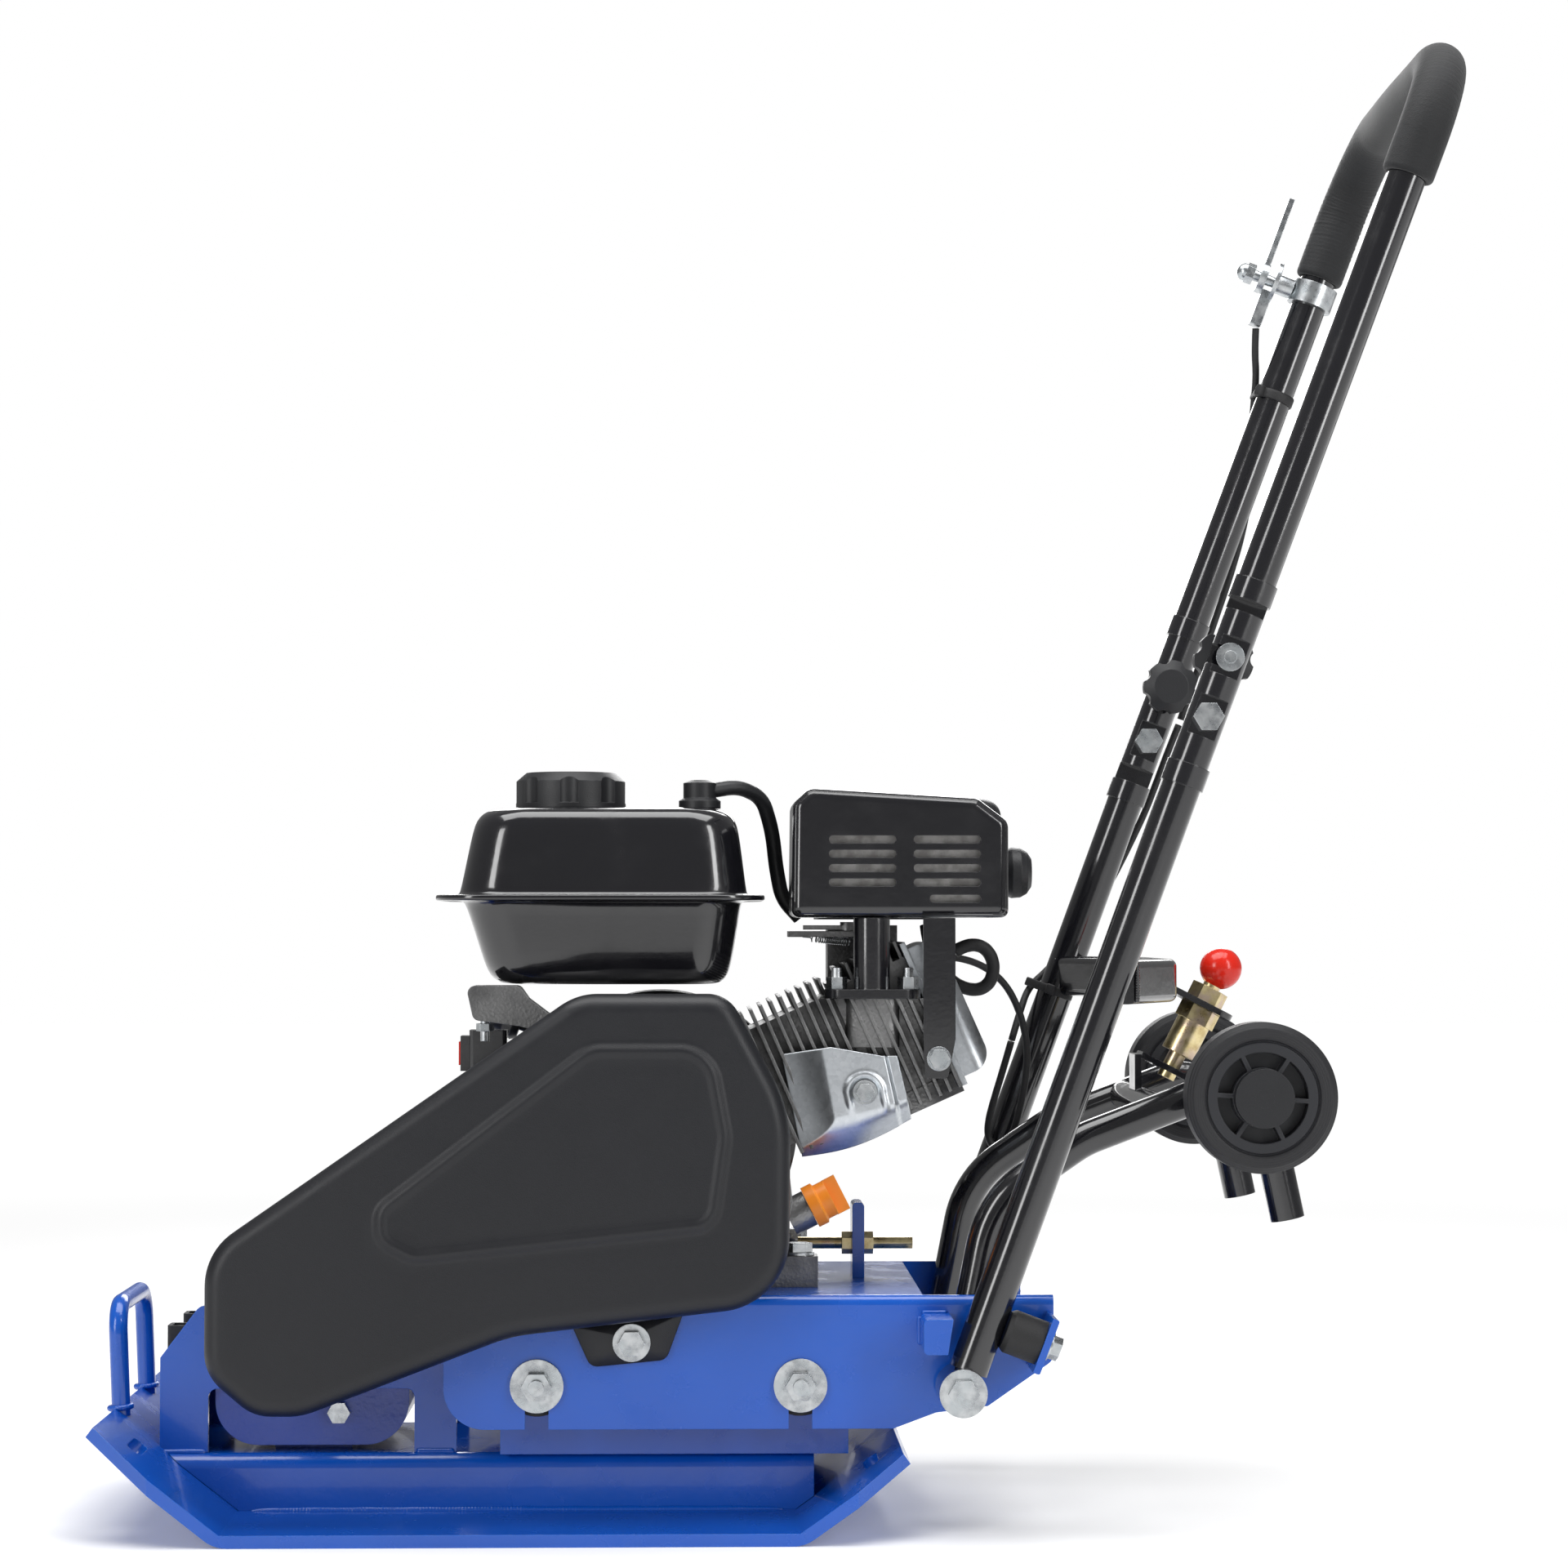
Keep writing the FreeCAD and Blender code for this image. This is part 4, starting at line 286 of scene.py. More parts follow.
def belt_guard():
    """The moulded guard. Rings of one polar outline run from its open back over the
    wall, round an 11 mm shoulder and across the face; the face rises by a smooth step
    to the panel's ridge, sinks a little inside it and closes at a pole."""
    centre, count = np.array([60.0, 236.0]), 640
    angles = np.linspace(-np.pi, np.pi, count, endpoint=False)

    def polar(outline):
        seen = outline - centre
        bearing = np.arctan2(seen[:, 1], seen[:, 0])
        order = np.argsort(bearing)
        reach = np.hypot(seen[:, 0], seen[:, 1])[order]
        found = np.interp(angles, bearing[order], reach, period=2 * np.pi)
        return centre + found[:, None] * np.stack([np.cos(angles), np.sin(angles)], -1)

    def outward(ring):
        along = np.roll(ring, -1, 0) - np.roll(ring, 1, 0)
        return unit(np.stack([along[:, 1], -along[:, 0]], -1))

    rim = polar(even(rounded_outline(GUARD, GUARD_ROUNDS), 3000, True))
    panel = polar(even(rounded_outline(PANEL, PANEL_ROUNDS), 3000, True))
    rim_way, panel_way = outward(rim), outward(panel)
    rings = [(rim, GUARD_BACK + depth) for depth in (0, 8, 18, 25)]
    floor_depth = GUARD_FACE + PANEL_RISE - PANEL_SINK
    for turn in np.linspace(0, np.pi / 2, 9):
        rings.append((rim - rim_way * SHOULDER * (1 - math.cos(turn)),
                      GUARD_FACE - SHOULDER + SHOULDER * math.sin(turn)))
    inner, outer = rings[-1][0], panel + panel_way * RIDGE_OUT
    for share in np.linspace(0, 1, 14)[1:]:
        rings.append((inner * (1 - share) + outer * share, GUARD_FACE))
    for share in np.linspace(0, 1, 9)[1:]:
        rings.append((panel + panel_way * RIDGE_OUT * (1 - share),
                      GUARD_FACE + PANEL_RISE * float(smooth(share))))
    for share in np.linspace(0, 1, 6)[1:]:
        rings.append((panel - panel_way * RIDGE_IN * share,
                      GUARD_FACE + PANEL_RISE - PANEL_SINK * float(smooth(share))))
    core = rings[-1][0]
    for share in np.linspace(0, 1, 13)[1:-1]:
        rings.append((core * (1 - share) + centre * share, floor_depth))
    grid = np.stack([np.stack([ring[:, 0], np.full(count, -depth), ring[:, 1]], -1)
                     for ring, depth in rings]) * MM
    shell = surface("guard_shell", grid)
    shaped = bmesh.new()
    shaped.from_mesh(shell.data)
    last = [v for v in shaped.verts if abs(v.co.y + floor_depth * MM) < 1e-6
            and math.dist((v.co.x, v.co.z), centre * MM) < 0.016]
    edges = [e for e in shaped.edges if e.is_boundary and e.verts[0] in last]
    bmesh.ops.contextual_create(shaped, geom=edges)
    for face in shaped.faces:
        face.smooth = True
        if face.calc_center_median().y < 1e-4 - floor_depth * MM and face.normal.y > 0:
            face.normal_flip()
    shaped.to_mesh(shell.data)
    shaped.free()
    wall = shell.modifiers.new("wall", "SOLIDIFY")
    wall.thickness, wall.offset = GUARD_WALL * MM, -1
    on_body(shell, "machine", "guard_plastic", "belt_guard")

    tab_corners = [(45, 131), (116, 139), (105, 109), (57, 104.5)]
    outline = even(rounded_outline(tab_corners, [1, 1, 7, 7], 12), 160, True)
    middle = outline.mean(0)
    tab_rings = [(middle, 127.4), (middle + (outline - middle) * 0.985, 127.4),
                 (outline, 126.6), (outline, 124.1), (middle, 124.1)]
    grid = np.stack([np.stack([np.broadcast_to(ring, outline.shape)[:, 0],
                               np.full(len(outline), -depth),
                               np.broadcast_to(ring, outline.shape)[:, 1]], -1)
                     for ring, depth in tab_rings]) * MM
    on_body(surface("guard_tab", grid), "machine", "guard_plastic")


# ---------------------------------------------------------------- fuel tank

# height, left and right ends, inset from the rim's sides, corner radius
TANK = [(345, 30, 112, 52, 14), (345, 8, 128, 34, 22), (345.2, -2, 137, 27, 25),
        (347, -8.5, 141.5, 21.5, 27), (351, -12.5, 144.5, 17.5, 28),
        (357, -15.5, 146.5, 15.5, 29), (366, -18.5, 148.3, 14.3, 30),
        (382, -23.5, 150.8, 12.6, 31), (397.5, -28.5, 153, 11, 31),
        (399.6, -30.5, 154.5, 9.5, 32), (400, -33, 157, 8, 32), (400, -47, 168, 0.8, 34),
        (400.4, -47.8, 168.8, 0.2, 34), (402, -48, 169, 0, 34),
        (403.6, -47.8, 168.8, 0.2, 34), (404, -47, 168, 0.8, 34), (404, -35, 159, 8, 32),
        (404.5, -33, 157.5, 10, 31), (407, -32, 156.8, 11, 31),
        (430, -27.5, 154, 14, 30), (446, -24.2, 151.8, 16.3, 29),
        (453, -22, 149.8, 18, 29), (458, -18, 146, 21, 28), (461, -11.5, 140, 26, 26),
        (462, -3, 132, 33, 24), (462.3, 12, 118, 48, 16), (462.4, 25, 100, 70, 8)]


def fuel_tank():
    """The pressed tank: a rounded rectangle at each height, from the middle of its
    floor out round the pan, over the seam's flat rim and up the tapered lid."""
    y_low, y_high = -70, 110
    rings = []
    for height, left, right, inset, radius in TANK:
        low, high = y_low + inset, y_high - inset
        radius = min(radius, (high - low) / 2 - 0.5)
        flat = rounded_outline([(left, low), (right, low), (right, high), (left, high)],
                               [radius] * 4, 20)
        rings.append(np.column_stack([flat, np.full(len(flat), height)]))
    tank = surface("tank_shell", np.stack(rings) * MM, poles=True)
    soft = tank.modifiers.new("pressing", "SUBSURF")
    soft.levels = soft.render_levels = 1
    on_body(tank, "machine", "black_paint", "fuel_tank")


# ---------------------------------------------------------------- handle

def handle_point(run, y=0.0):
    return FOLD + AIM * run + np.array([0, y, 0])


def foam_grip():
    """The foam sleeve: a ring of 17 mm carried round the bar, with fine creases where
    it is bunched. The creases are sums of sines along the run, strongest at the far
    leg and inside both bends; the sleeve turns in at each end and back along the tube."""
    near, far = -HANDLE_HALF, HANDLE_HALF
    bend = np.linspace(0, np.pi / 2, 40)
    left, right, level = near + BAR_CORNER, far - BAR_CORNER, TOP_BAR - BAR_CORNER
    y = np.concatenate([[near], left - BAR_CORNER * np.cos(bend),
                        right + BAR_CORNER * np.sin(bend), [far]])
    run = np.concatenate([[368.4 * MM], level + BAR_CORNER * np.sin(bend),
                          level + BAR_CORNER * np.cos(bend), [354.4 * MM]])
    rings, sides = 900, 48
    line = even(np.stack([y, run], -1), rings)
    path = FOLD + line[:, 1:] * AIM + line[:, :1] * np.array([0, 1, 0])
    along = np.linspace(0, 1, rings)[:, None]
    length = 0.447
    turn = np.linspace(0, 2 * np.pi, sides, endpoint=False)[None]
    place = along * length / MM
    crease = (np.sin(2 * np.pi * place / 2.9 + 1.3 * np.sin(turn + place / 31))
              + 0.7 * np.sin(2 * np.pi * place / 4.3 + 1.9 * np.sin(2 * turn + 1.1))
              + 0.5 * np.sin(2 * np.pi * place / 7.1 + 2.3 * np.cos(turn)))
    bunched = (0.9 * np.exp(-((along - 0.90) / 0.075) ** 2)
               + 0.30 * np.exp(-((along - 0.18) / 0.06) ** 2)
               + 0.12)
    swell = 0.25 * np.sin(2 * np.pi * along * 2.3 + 0.6) + 0.15 * np.sin(turn * 2 + along * 9)
    inside = 0.5 + 0.5 * np.cos(turn - np.pi / 2)
    outer = (16.75 + swell - 0.12 * crease * bunched * (0.55 + 0.45 * inside)) * MM
    edge = np.minimum(along, 1 - along) * length / (3.2 * MM)
    outer = outer - 2.4 * MM * (1 - np.sqrt(np.clip(1 - (1 - np.clip(edge, 0, 1)) ** 2, 0, 1)))
    ring = np.stack([np.cos(turn), np.sin(turn)], -1)
    skin = outer[..., None] * ring
    core = np.full((60, 1, 1), TUBE_RADIUS + 0.1 * MM) * ring
    back = path[np.linspace(rings - 1, 0, 60).astype(int)]
    up = np.cross(np.array([0, 1.0, 0]), AIM)

    def frame_of(points):
        way = unit(np.gradient(points, axis=0))
        side = unit(np.cross(way, up))
        return side, np.cross(side, way)

    side, lift = frame_of(path)
    skin_grid = path[:, None] + skin[..., :1] * side[:, None] + skin[..., 1:] * lift[:, None]
    side, lift = frame_of(back)
    core_grid = back[:, None] + core[..., :1] * -side[:, None] + core[..., 1:] * lift[:, None]
    grip = surface("foam_sleeve", np.vstack([skin_grid, core_grid]), (True, True))
    on_body(grip, "upper_handle", "foam", "foam_grip")


def cable_tie(name, run, beside, body, width):
    """A strap round the far tube and the cable: the outline of both circles' hull, as a
    function of its outward bearing, is carried into a band with a small lock block."""
    centre = handle_point(run, HANDLE_HALF)
    cable_at = np.array(beside) * MM - centre
    cable_at = np.array([cable_at @ OUT, cable_at[1]])
    bearing = np.linspace(0, 2 * np.pi, 72, endpoint=False)
    way = np.stack([np.cos(bearing), np.sin(bearing)], -1)
    tube, sheath = TUBE_RADIUS + 0.1 * MM, 2.6 * MM
    hull = np.where((way @ cable_at + sheath > tube)[:, None],
                    cable_at + sheath * way, tube * way)
    half, thick = width / 2, 1.2 * MM
    section = np.array([(0, -half), (thick * 0.7, -half), (thick, -half * 0.7),
                        (thick, half * 0.7), (thick * 0.7, half), (0, half)])
    flat = hull[:, None] + section[None, :, :1] * way[:, None]
    grid = (centre + flat[..., :1] * OUT + flat[..., 1:] * np.array([0, 1, 0])
            + section[None, :, 1:] * AIM)
    band = surface(name, grid, (True, True))
    block_way = unit(cable_at)
    block_way = np.array([block_way[1], -block_way[0]])
    block_at = block_way * (tube + thick + 1.6 * MM)
    u = np.linspace(-np.pi / 2, np.pi / 2, 14)[:, None]
    v = np.linspace(0, 2 * np.pi, 28, endpoint=False)[None]

    def squared(value):
        return np.sign(value) * np.abs(value) ** 0.35

    lock = np.stack([squared(np.cos(u)) * squared(np.cos(v)) * 2.4 * MM,
                     squared(np.cos(u)) * squared(np.sin(v)) * 3.4 * MM,
                     squared(np.sin(u)) * np.ones_like(v) * (half + 0.6 * MM)], -1)
    side = np.array([-block_way[1], block_way[0]])
    spot = block_at + lock[..., :1] * block_way + lock[..., 1:2] * side
    grid = (centre + spot[..., :1] * OUT + spot[..., 1:] * np.array([0, 1, 0])
            + lock[..., 2:] * AIM)
    lump = surface(name + "_lock", grid, (False, True))
    on_body(join(name + "_strap", [band, lump]), body, "rubber")


# ---------------------------------------------------------------- welds

def weld(name, start, end, size, seed):
    """A weld bead: a ring carried along the joint whose radius ripples like laid coins,
    wanders a little, and tapers to nothing at both ends."""
    start, end = np.array(start, float) * MM, np.array(end, float) * MM
    length = np.linalg.norm(end - start)
    count = max(24, int(length / (0.55 * MM)))
    t = np.linspace(0, 1, count)
    run = t * length / MM
    ripple = np.abs(np.sin(np.pi * run / (size * 0.8) + seed))
    radius = size * MM * (0.86 + 0.12 * ripple + 0.06 * np.sin(run / 5.3 + seed * 2))
    radius = radius * np.sqrt(np.clip(1 - (2 * t - 1) ** 14, 0.02, 1))
    path = start + (end - start) * t[:, None]
    up = np.array([0.31, 0.52, 0.79])
    return carried(name, path, radius[:, None, None] * circle(14)[None], up)


def weld_ring(name, centre, way, radius, size, seed):
    """A weld bead all round a bar: the same ripple on a circle square to way."""
    way = unit(np.array(way, float))
    across = unit(np.cross(way, [0.0, 1.0, 0.0]))
    other = np.cross(way, across)
    turn = np.linspace(0, 2 * np.pi, 120, endpoint=False)[:, None]
    path = np.array(centre, float) * MM + radius * MM * (
        np.cos(turn) * across + np.sin(turn) * other)
    thick = size * MM * (0.86 + 0.14 * np.abs(np.sin(11 * turn + seed)))
    return carried(name, path, thick[..., None] * circle(12)[None], way, closed=True)


def blue_welds():
    """The beads on the plate, its stiffener, the lifting loop and the brackets."""
    beads = []
    for k, side in enumerate((-1, 1)):
        beads += [
            weld("seam", (-162, side * 81.5, 8), (180, side * 81.5, 8), 2.6, k),
            weld("seam", (-222, side * 72.5, 44.5), (-192, side * 72.5, 44.5), 2.2, 2 + k),
            weld("seam", (-57, side * 72.5, 44.5), (-32, side * 72.5, 44.5), 2.2, 4 + k),
            weld("seam", (265.6, side * 124.4, 118), (265.6, side * 124.4, 136), 1.7, 6 + k),
            weld("seam", (267, side * 124.4, 138.2), (283, side * 124.4, 138.2), 1.7, 8 + k),
            weld_ring("seam", (-249.5, side * 57, 71.5), (-0.1, 0, 1), 6.8, 2.0, k),
        ]
    on_body(join("plate_welds", beads), "machine", "blue_paint")


def handle_welds():
    """The beads where the cross member meets the two lower tubes."""
    beads = []
    for k, side in enumerate((-1, 1)):
        beads += [weld("seam", (379.5, side * 147.5, 335), (379.5, side * 147.5, 361), 2, k),
                  weld("seam", (402, side * 147.5, 335), (402, side * 147.5, 361), 2, 3 + k)]
    on_body(join("handle_weld_beads", beads), "lower_handle", "black_paint")


# ---------------------------------------------------------------- small engine pieces

def heat_shroud():
    """The pressed shroud by the cylinder: a four-sided sheet ruled between its left and
    right edges and peaked at its top. It rolls back along its low edge, folds back on
    its left, steps back on its right and has a horseshoe rib round its bolt."""
    left = np.array([(179.6, 299.4), (193, 233)])
    right = np.array([(254.7, 298.8), (264.6, 257.5)])
    u = np.linspace(0, 1, 170)[None, :, None]
    v = np.linspace(0, 1, 140)[:, None, None]
    flat = ((1 - u) * ((1 - v) * left[0] + v * left[1])
            + u * ((1 - v) * right[0] + v * right[1]))
    u, v = u[..., 0] + 0 * v[..., 0], v[..., 0] + 0 * u[..., 0]
    flat[..., 1] += (1 - v) * 5.5 * np.clip(1 - np.abs(u - 0.42) / 0.45, 0, 1)
    flat[..., 1] -= v * 5 * np.sin(np.pi * u)
    bolt = np.array([233.5, 275.4])
    dx, dz = flat[..., 0] - bolt[0], flat[..., 1] - bolt[1]
    arch = np.where(dz > 0, np.hypot(dx, dz), np.abs(dx + 0.22 * dz))
    rib = np.exp(-((arch - 11.5) / 2.0) ** 2) * smooth((dz + 15) / 9)
    roll = 15 * (1 - np.cos(np.clip((v - 0.66) / 0.34, 0, 1) * np.pi / 2))
    crease = np.clip((0.36 - u) / 0.36, 0, 1)
    curl = 10 * np.sqrt(crease ** 2 + 0.003) - 0.5
    step = 3.5 * smooth((u - 0.88) / 0.04)
    depth = -69.6 - 1.4 * rib + np.maximum(roll, curl * (crease > 0)) + step
    grid = np.stack([flat[..., 0], depth, flat[..., 1]], -1) * MM
    piece = surface("heat_shroud_sheet", grid, (False, False))
    wall = piece.modifiers.new("wall", "SOLIDIFY")
    wall.thickness, wall.offset = 0.9 * MM, 0
    on_body(piece, "machine", "galvanised", "heat_shroud")


def governor_spring():
    """The governor's return spring: a helix whose radius closes to hooks at its ends."""
    start, end = np.array([196, 30, 376.0]), np.array([236, 44, 372.0])
    t = np.linspace(0, 1, 900)[:, None]
    way = unit(end - start)
    across = unit(np.cross(way, [0, 0, 1.0]))
    other = np.cross(way, across)
    reach = 2.6 * np.clip(np.minimum(t, 1 - t) / 0.12, 0, 1) ** 0.5
    turn = 2 * np.pi * 17 * smooth((t - 0.1) / 0.8)
    path = (start + (end - start) * t
            + reach * (np.cos(turn) * across + np.sin(turn) * other)) * MM
    piece = carried("governor_spring", path, circle(8, 0.42 * MM)[None], way)
    on_body(piece, "machine", "zinc")


# ---------------------------------------------------------------- finishes

class Wire:
    """A value in a material's node tree: sums and products of wires add Math nodes."""

    def __init__(self, tree, socket):
        self.tree, self.socket = tree, socket

    def _math(self, operation, *values):
        node = self.tree.nodes.new("ShaderNodeMath")
        node.operation = operation
        for slot, value in zip(node.inputs, values):
            connect(self.tree, slot, value)
        return Wire(self.tree, node.outputs[0])

    def __add__(self, other):
        return self._math("ADD", self, other)

    def __sub__(self, other):
        return self._math("SUBTRACT", self, other)

    def __rsub__(self, other):
        return self._math("SUBTRACT", other, self)

    def __mul__(self, other):
        return self._math("MULTIPLY", self, other)

    __radd__ = __add__
    __rmul__ = __mul__


def connect(tree, slot, value):
    if isinstance(value, Wire):
        tree.links.new(value.socket, slot)
    else:
        slot.default_value = value


class Finish:
    """A material in the making, with its main shader and the place it is read at."""

    def __init__(self, name, constants):
        self.material = bpy.data.materials.new(name)
        self.material.use_nodes = True
        self.tree = self.material.node_tree
        self.shader = self.tree.nodes["Principled BSDF"]
        for socket, value in constants.items():
            self.shader.inputs[socket].default_value = value
        self.place = self.node("ShaderNodeTexCoord", out="Object")

    def node(self, kind, settings=None, sockets=None, out=0):
        """Adds a node: its settings first, then the values or wires of its sockets."""
        made = self.tree.nodes.new(kind)
        for key, value in (settings or {}).items():
            setattr(made, key, value)
        for key, value in (sockets or {}).items():
            connect(self.tree, made.inputs[key], value)
        return Wire(self.tree, made.outputs[out])

    def set(self, socket, value):
        connect(self.tree, self.shader.inputs[socket], value)

    def stretched(self, scale):
        return self.node("ShaderNodeVectorMath", {"operation": "MULTIPLY"},
                         {0: self.place, 1: scale})

    def noise(self, scale, detail=3.0, place=None):
        return self.node("ShaderNodeTexNoise", None, {
            "Vector": place or self.place, "Scale": scale, "Detail": detail})

    def cells(self, scale, out="Distance"):
        return self.node("ShaderNodeTexVoronoi", None,
                         {"Vector": self.place, "Scale": scale}, out)

    def mask(self, value, low, high):
        """0 below low, 1 above high and a smooth step between them."""
        return self.node("ShaderNodeMapRange", {"interpolation_type": "SMOOTHSTEP"}, {
            "Value": value, "From Min": low, "From Max": high})

    def mix(self, share, first, second):
        return self.node("ShaderNodeMix", {"data_type": "RGBA"}, {
            0: share, 6: first, 7: second}, out=2)

    def edges(self, radius):
        """1 along sharp edges, from how far a rounded normal leans from the real one."""
        soft = self.node("ShaderNodeBevel", {"samples": 4}, {"Radius": radius})
        real = self.node("ShaderNodeNewGeometry", out="Normal")
        agree = self.node("ShaderNodeVectorMath", {"operation": "DOT_PRODUCT"},
                          {0: soft, 1: real}, out="Value")
        return self.mask(1 - agree, 0.01, 0.16)

    def relief(self, height, distance, radius=0.9 * MM):
        """Bump over softly rounded edges."""
        soft = self.node("ShaderNodeBevel", {"samples": 4}, {"Radius": radius})
        self.set("Normal", self.node("ShaderNodeBump", None, {
            "Height": height, "Distance": distance, "Strength": 1.0, "Normal": soft}))


def rgb(red, green, blue):
    return (red, green, blue, 1.0)


def enamel(name, deep, bright, edge, peel=0.00007, gloss=0.2, coat=0.6):
    """Gloss enamel: an orange-peel skin, a slow drift of colour, a painted highlight in a
    lighter colour along its edges and a faint film of dust that dulls it in patches."""
    f = Finish(name, {"Coat Weight": coat, "Coat Roughness": 0.06})
    drift = f.noise(7, 2)
    dust = f.mask(f.noise(34, 5), 0.45, 0.8)
    colour = f.mix(drift, deep, bright)
    # painted highlight: along sharp edges the colour turns towards the lighter edge colour
    f.set("Base Color", f.mix(f.edges(1.2 * MM) * 0.55, colour, edge))
    f.set("Roughness", dust * 0.14 + f.noise(240, 2) * 0.05 + gloss)
    f.relief(f.noise(330, 1.5) + f.noise(70, 1) * 2.2, peel)
    return f.material


def moulded(name, dark, light, rough, grain=1500, depth=0.00005, radius=0.9 * MM):
    """Moulded plastic: spark-eroded grain, slight flow marks and scuffed edges."""
    f = Finish(name, {"IOR": 1.46})
    flow = f.noise(11, 3, f.stretched((1, 1, 0.3)))
    scuff = f.edges(radius) * f.mask(f.noise(90, 4), 0.35, 0.7)
    f.set("Base Color", f.mix(scuff * 0.5, f.mix(flow, dark, light),
                              tuple(min(1, c * 2.4) for c in light[:3]) + (1.0,)))
    f.set("Roughness", f.noise(55, 4) * 0.16 + rough - scuff * 0.05)
    f.relief(f.cells(grain) + f.noise(grain * 0.6, 2), depth, radius)
    return f.material


def plated(name, dark, light, rough, tint=None):
    """Zinc plate or bare steel: a fine grain, clouded tones and dull spots."""
    f = Finish(name, {"Metallic": 1.0})
    cloud = f.noise(130, 4)
    colour = f.mix(f.mask(cloud, 0.3, 0.7), dark, light)
    if tint:
        colour = f.mix(f.mask(f.noise(75, 3), 0.46, 0.68) * 0.75, colour, tint)
    f.set("Base Color", f.mix(f.edges(0.6 * MM) * 0.4, colour, light))
    grain = f.noise(900, 3)
    f.set("Roughness", cloud * 0.16 + grain * 0.12 + rough)
    f.relief(grain, 0.00003, 0.5 * MM)
    return f.material


def cast(name, dark, light, metallic, rough, grain=620, depth=0.00022):
    """A sand or die casting: a pebbled skin, dark grime low in it and bright edges."""
    f = Finish(name, {"Metallic": metallic})
    grime = f.mask(f.noise(26, 5), 0.38, 0.72)
    skin = f.noise(grain, 3)
    colour = f.mix(grime * 0.7, light, dark)
    f.set("Base Color", f.mix(f.edges(1.1 * MM) * 0.5, colour,
                              tuple(min(1, c * 1.5) for c in light[:3]) + (1.0,)))
    f.set("Roughness", grime * 0.2 + skin * 0.15 + rough)
    f.relief(skin + f.cells(grain * 0.7) * 0.6, depth)
    return f.material


def galvanised_sheet(name):
    """Zinc-coated sheet: crystal spangles, each a little lighter or darker, and dull
    patches that follow them."""
    f = Finish(name, {"Metallic": 1.0})
    spangle = f.cells(420, "Color")
    tone = f.node("ShaderNodeSeparateColor", None, {0: spangle})
    f.set("Base Color", f.mix(tone * 0.25 + f.noise(24, 4) * 0.75, rgb(0.42, 0.45, 0.48),
                              rgb(0.74, 0.77, 0.80)))
    f.set("Roughness", tone * 0.04 + f.noise(60, 4) * 0.14 + 0.24)
    f.relief(f.noise(45, 2) * 3 + f.noise(700, 2), 0.00006, 1.2 * MM)
    return f.material


def wheel_rubber(name):
    """The wheels: fine turned rings on the tyre by distance from the axle, and a
    smoother moulded disc inside."""
    f = Finish(name, {"IOR": 1.46})
    offset = f.node("ShaderNodeVectorMath", {"operation": "SUBTRACT"},
                    {0: f.place, 1: AXLE})
    flat = f.node("ShaderNodeVectorMath", {"operation": "MULTIPLY"},
                  {0: offset, 1: (1, 0, 1)})
    reach = f.node("ShaderNodeVectorMath", {"operation": "LENGTH"}, {0: flat}, out="Value")
    tread = f.mask(reach, 0.0355, 0.0365)
    ring = f.node("ShaderNodeMath", {"operation": "SINE"}, {0: reach * 4200})
    f.set("Base Color", f.mix(tread * 0.8 + f.noise(60, 4) * 0.2, rgb(0.020, 0.021, 0.025),
                              rgb(0.013, 0.013, 0.015)))
    f.set("Roughness", tread * 0.16 + f.noise(80, 4) * 0.14 + 0.34)
    f.relief(ring * tread * 0.5 + f.noise(1300, 2) * 0.6, 0.00008, 1.2 * MM)
    return f.material


def foam_rubber(name):
    """Closed-cell foam: fine open pores on a matte skin, greyer where it is rubbed."""
    f = Finish(name, {"IOR": 1.35, "Sheen Weight": 0.12, "Sheen Roughness": 0.5})
    rub = f.mask(f.noise(30, 4), 0.4, 0.75)
    pores = f.cells(1150)
    f.set("Base Color", f.mix(rub * 0.7, rgb(0.012, 0.0125, 0.0135),
                              rgb(0.024, 0.025, 0.027)))
    f.set("Roughness", rub * 0.12 + 0.66)
    f.set("Normal", f.node("ShaderNodeBump", None, {
        "Height": pores + f.noise(420, 4), "Distance": 0.00016, "Strength": 1.0}))
    return f.material


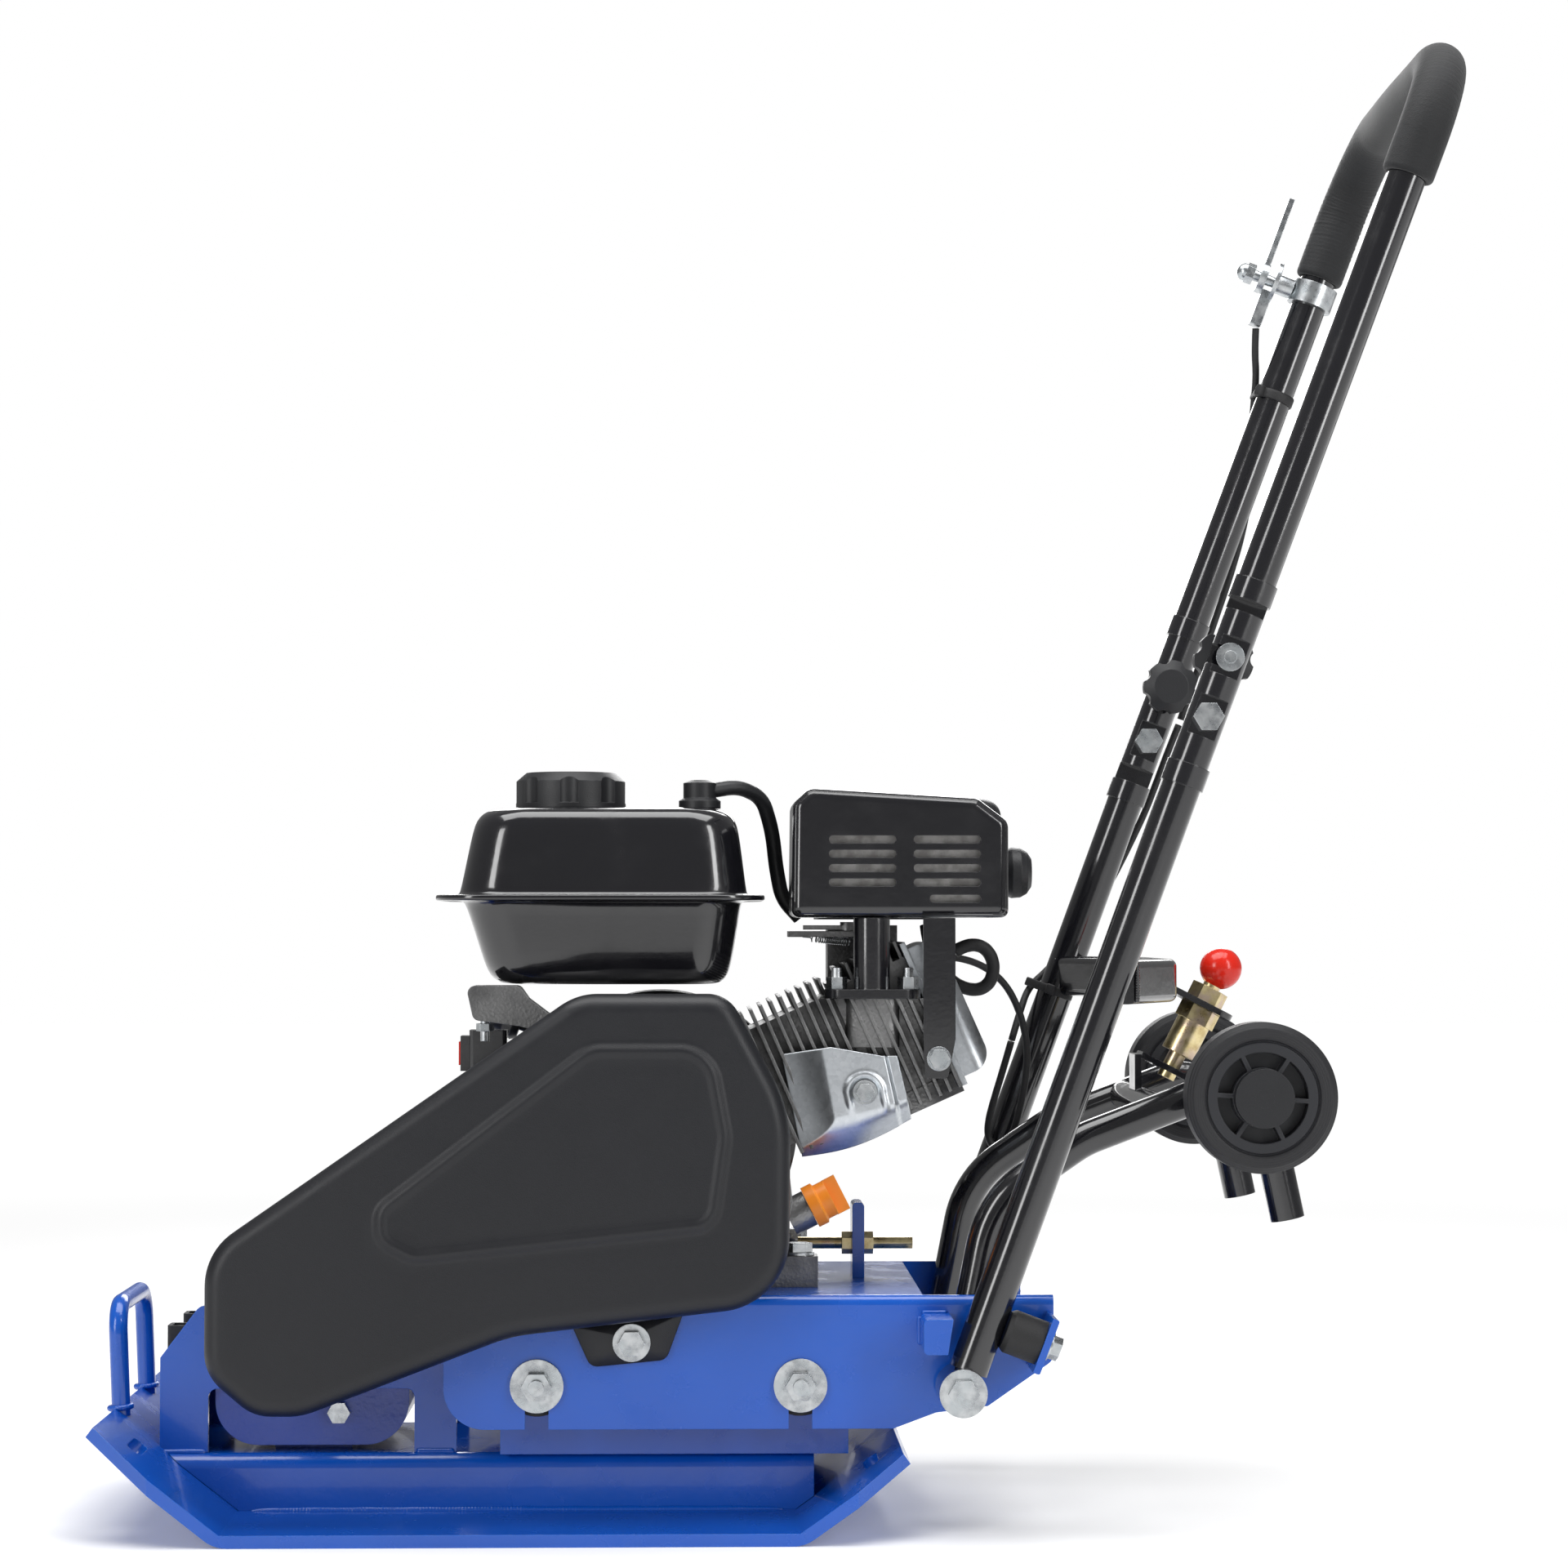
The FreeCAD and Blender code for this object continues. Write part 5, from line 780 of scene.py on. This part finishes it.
FINISHES = {
    # the third colour of each enamel is its painted edge highlight
    "blue_paint": enamel("royal_blue_enamel", rgb(0.0015, 0.060, 0.36),
                         rgb(0.004, 0.105, 0.56), rgb(0.015, 0.17, 0.70), coat=0.35),
    "cast_iron_blue": enamel("blue_on_casting", rgb(0.004, 0.035, 0.26),
                             rgb(0.006, 0.055, 0.38), rgb(0.02, 0.10, 0.5),
                             peel=0.00035, gloss=0.28, coat=0.4),
    "black_paint": enamel("black_gloss_enamel", rgb(0.0045, 0.0045, 0.006),
                          rgb(0.0085, 0.0085, 0.011), rgb(0.02, 0.02, 0.023),
                          peel=0.00004, gloss=0.14, coat=0.8),
    "guard_plastic": moulded("satin_guard_plastic", rgb(0.0065, 0.007, 0.0095),
                             rgb(0.0095, 0.010, 0.013), 0.36),
    "black_plastic": moulded("black_moulding", rgb(0.009, 0.0095, 0.011),
                             rgb(0.014, 0.0145, 0.017), 0.36),
    "red_plastic": moulded("red_moulding", rgb(0.62, 0.016, 0.008),
                           rgb(0.74, 0.028, 0.012), 0.12, 900, 0.00002),
    "orange_plastic": moulded("orange_moulding", rgb(0.80, 0.21, 0.012),
                              rgb(0.90, 0.29, 0.025), 0.28, 900, 0.00003),
    "rubber": moulded("black_rubber", rgb(0.010, 0.010, 0.011),
                      rgb(0.018, 0.018, 0.019), 0.5, 700, 0.00009),
    "steel": plated("oiled_steel", rgb(0.30, 0.29, 0.28), rgb(0.55, 0.54, 0.53), 0.26),
    "zinc": plated("bright_zinc", rgb(0.36, 0.38, 0.40), rgb(0.66, 0.68, 0.69), 0.15,
                   tint=rgb(0.52, 0.56, 0.58)),
    "yellow_zinc": plated("yellow_chromate", rgb(0.52, 0.40, 0.19),
                          rgb(0.80, 0.68, 0.38), 0.16, tint=rgb(0.62, 0.48, 0.42)),
    "cast_alu": cast("cast_aluminium", rgb(0.050, 0.050, 0.052), rgb(0.24, 0.24, 0.24),
                     0.85, 0.30),
    "galvanised": galvanised_sheet("galvanised_sheet"),
    "wheel_plastic": wheel_rubber("wheel_rubber"),
    "foam": foam_rubber("foam_rubber"),
}


def dress(piece, slot):
    """Gives a piece one finish in every material slot it has."""
    slots = piece.data.materials
    for i in range(len(slots)):
        slots[i] = FINISHES[slot]
    if not len(slots):
        slots.append(FINISHES[slot])


# ---------------------------------------------------------------- stage

def stage():
    """A plain pale floor, a white surround and four soft lights."""
    floor = bpy.data.meshes.new("floor")
    half = 12
    floor.from_pydata([(-half, -half, 0), (half, -half, 0), (half, half, 0),
                       (-half, half, 0)], [], [(0, 1, 2, 3)])
    ground = bpy.data.objects.new("floor", floor)
    bpy.context.scene.collection.objects.link(ground)
    pale = Finish("pale_floor", {"Roughness": 0.8, "Specular IOR Level": 0.2,
                                 "Emission Strength": 1.0})
    reach = pale.node("ShaderNodeVectorMath", {"operation": "LENGTH"}, {0: pale.place},
                      out="Value")
    away = pale.mask(reach, 0.7, 3.2)
    pale.set("Base Color", pale.mix(away, rgb(0.86, 0.86, 0.86), rgb(0, 0, 0)))
    pale.set("Emission Color", pale.mix(away, rgb(0.10, 0.10, 0.10), rgb(1, 1, 1)))
    floor.materials.append(pale.material)
    world = bpy.data.worlds.new("surround")
    world.use_nodes = True
    tree = world.node_tree
    seen = Wire(tree, tree.nodes.new("ShaderNodeLightPath").outputs["Is Camera Ray"])
    tree.nodes["Background"].inputs["Color"].default_value = rgb(1, 1, 1)
    connect(tree, tree.nodes["Background"].inputs["Strength"], seen * 0.78 + 0.22)
    bpy.context.scene.world = world
    bpy.context.scene.view_settings.view_transform = "Standard"
    for name, place, size, power in (
            ("overhead", (0.1, -0.3, 2.4), (2.6, 1.5), 58),
            ("front_left", (-1.9, -2.2, 1.2), (0.7, 1.8), 30),
            ("front_right", (2.0, -1.9, 1.3), (0.5, 1.8), 26),
            ("behind", (0.4, 2.3, 1.5), (1.6, 1.2), 34)):
        data = bpy.data.lights.new(name, "AREA")
        data.shape, data.size, data.size_y = "RECTANGLE", size[0], size[1]
        data.energy = power
        light = bpy.data.objects.new(name, data)
        light.location = place
        way = Vector((0.12, 0, 0.38)) - light.location
        light.rotation_euler = way.to_track_quat("-Z", "Y").to_euler()
        light.visible_camera = False
        bpy.context.scene.collection.objects.link(light)


# ---------------------------------------------------------------- the object

add_camera()
throttle_cable()
belt_guard()
fuel_tank()
foam_grip()
cable_tie("upper_tie", 263.9 * MM, (526, 171, 762), "upper_handle", 7 * MM)
cable_tie("lower_tie", -190 * MM, (359.6, 160, 336), "lower_handle", 6 * MM)
blue_welds()
handle_welds()
governor_spring()
heat_shroud()
breather_hose()
for entry in frame["record"]["subparts"]:
    dress(NODES[entry["node"]], entry["material_slot"])
for piece in bpy.data.objects:
    if piece.type == "MESH" and "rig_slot" in piece:
        dress(piece, piece["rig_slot"])
stage()

bpy.context.view_layer.update()
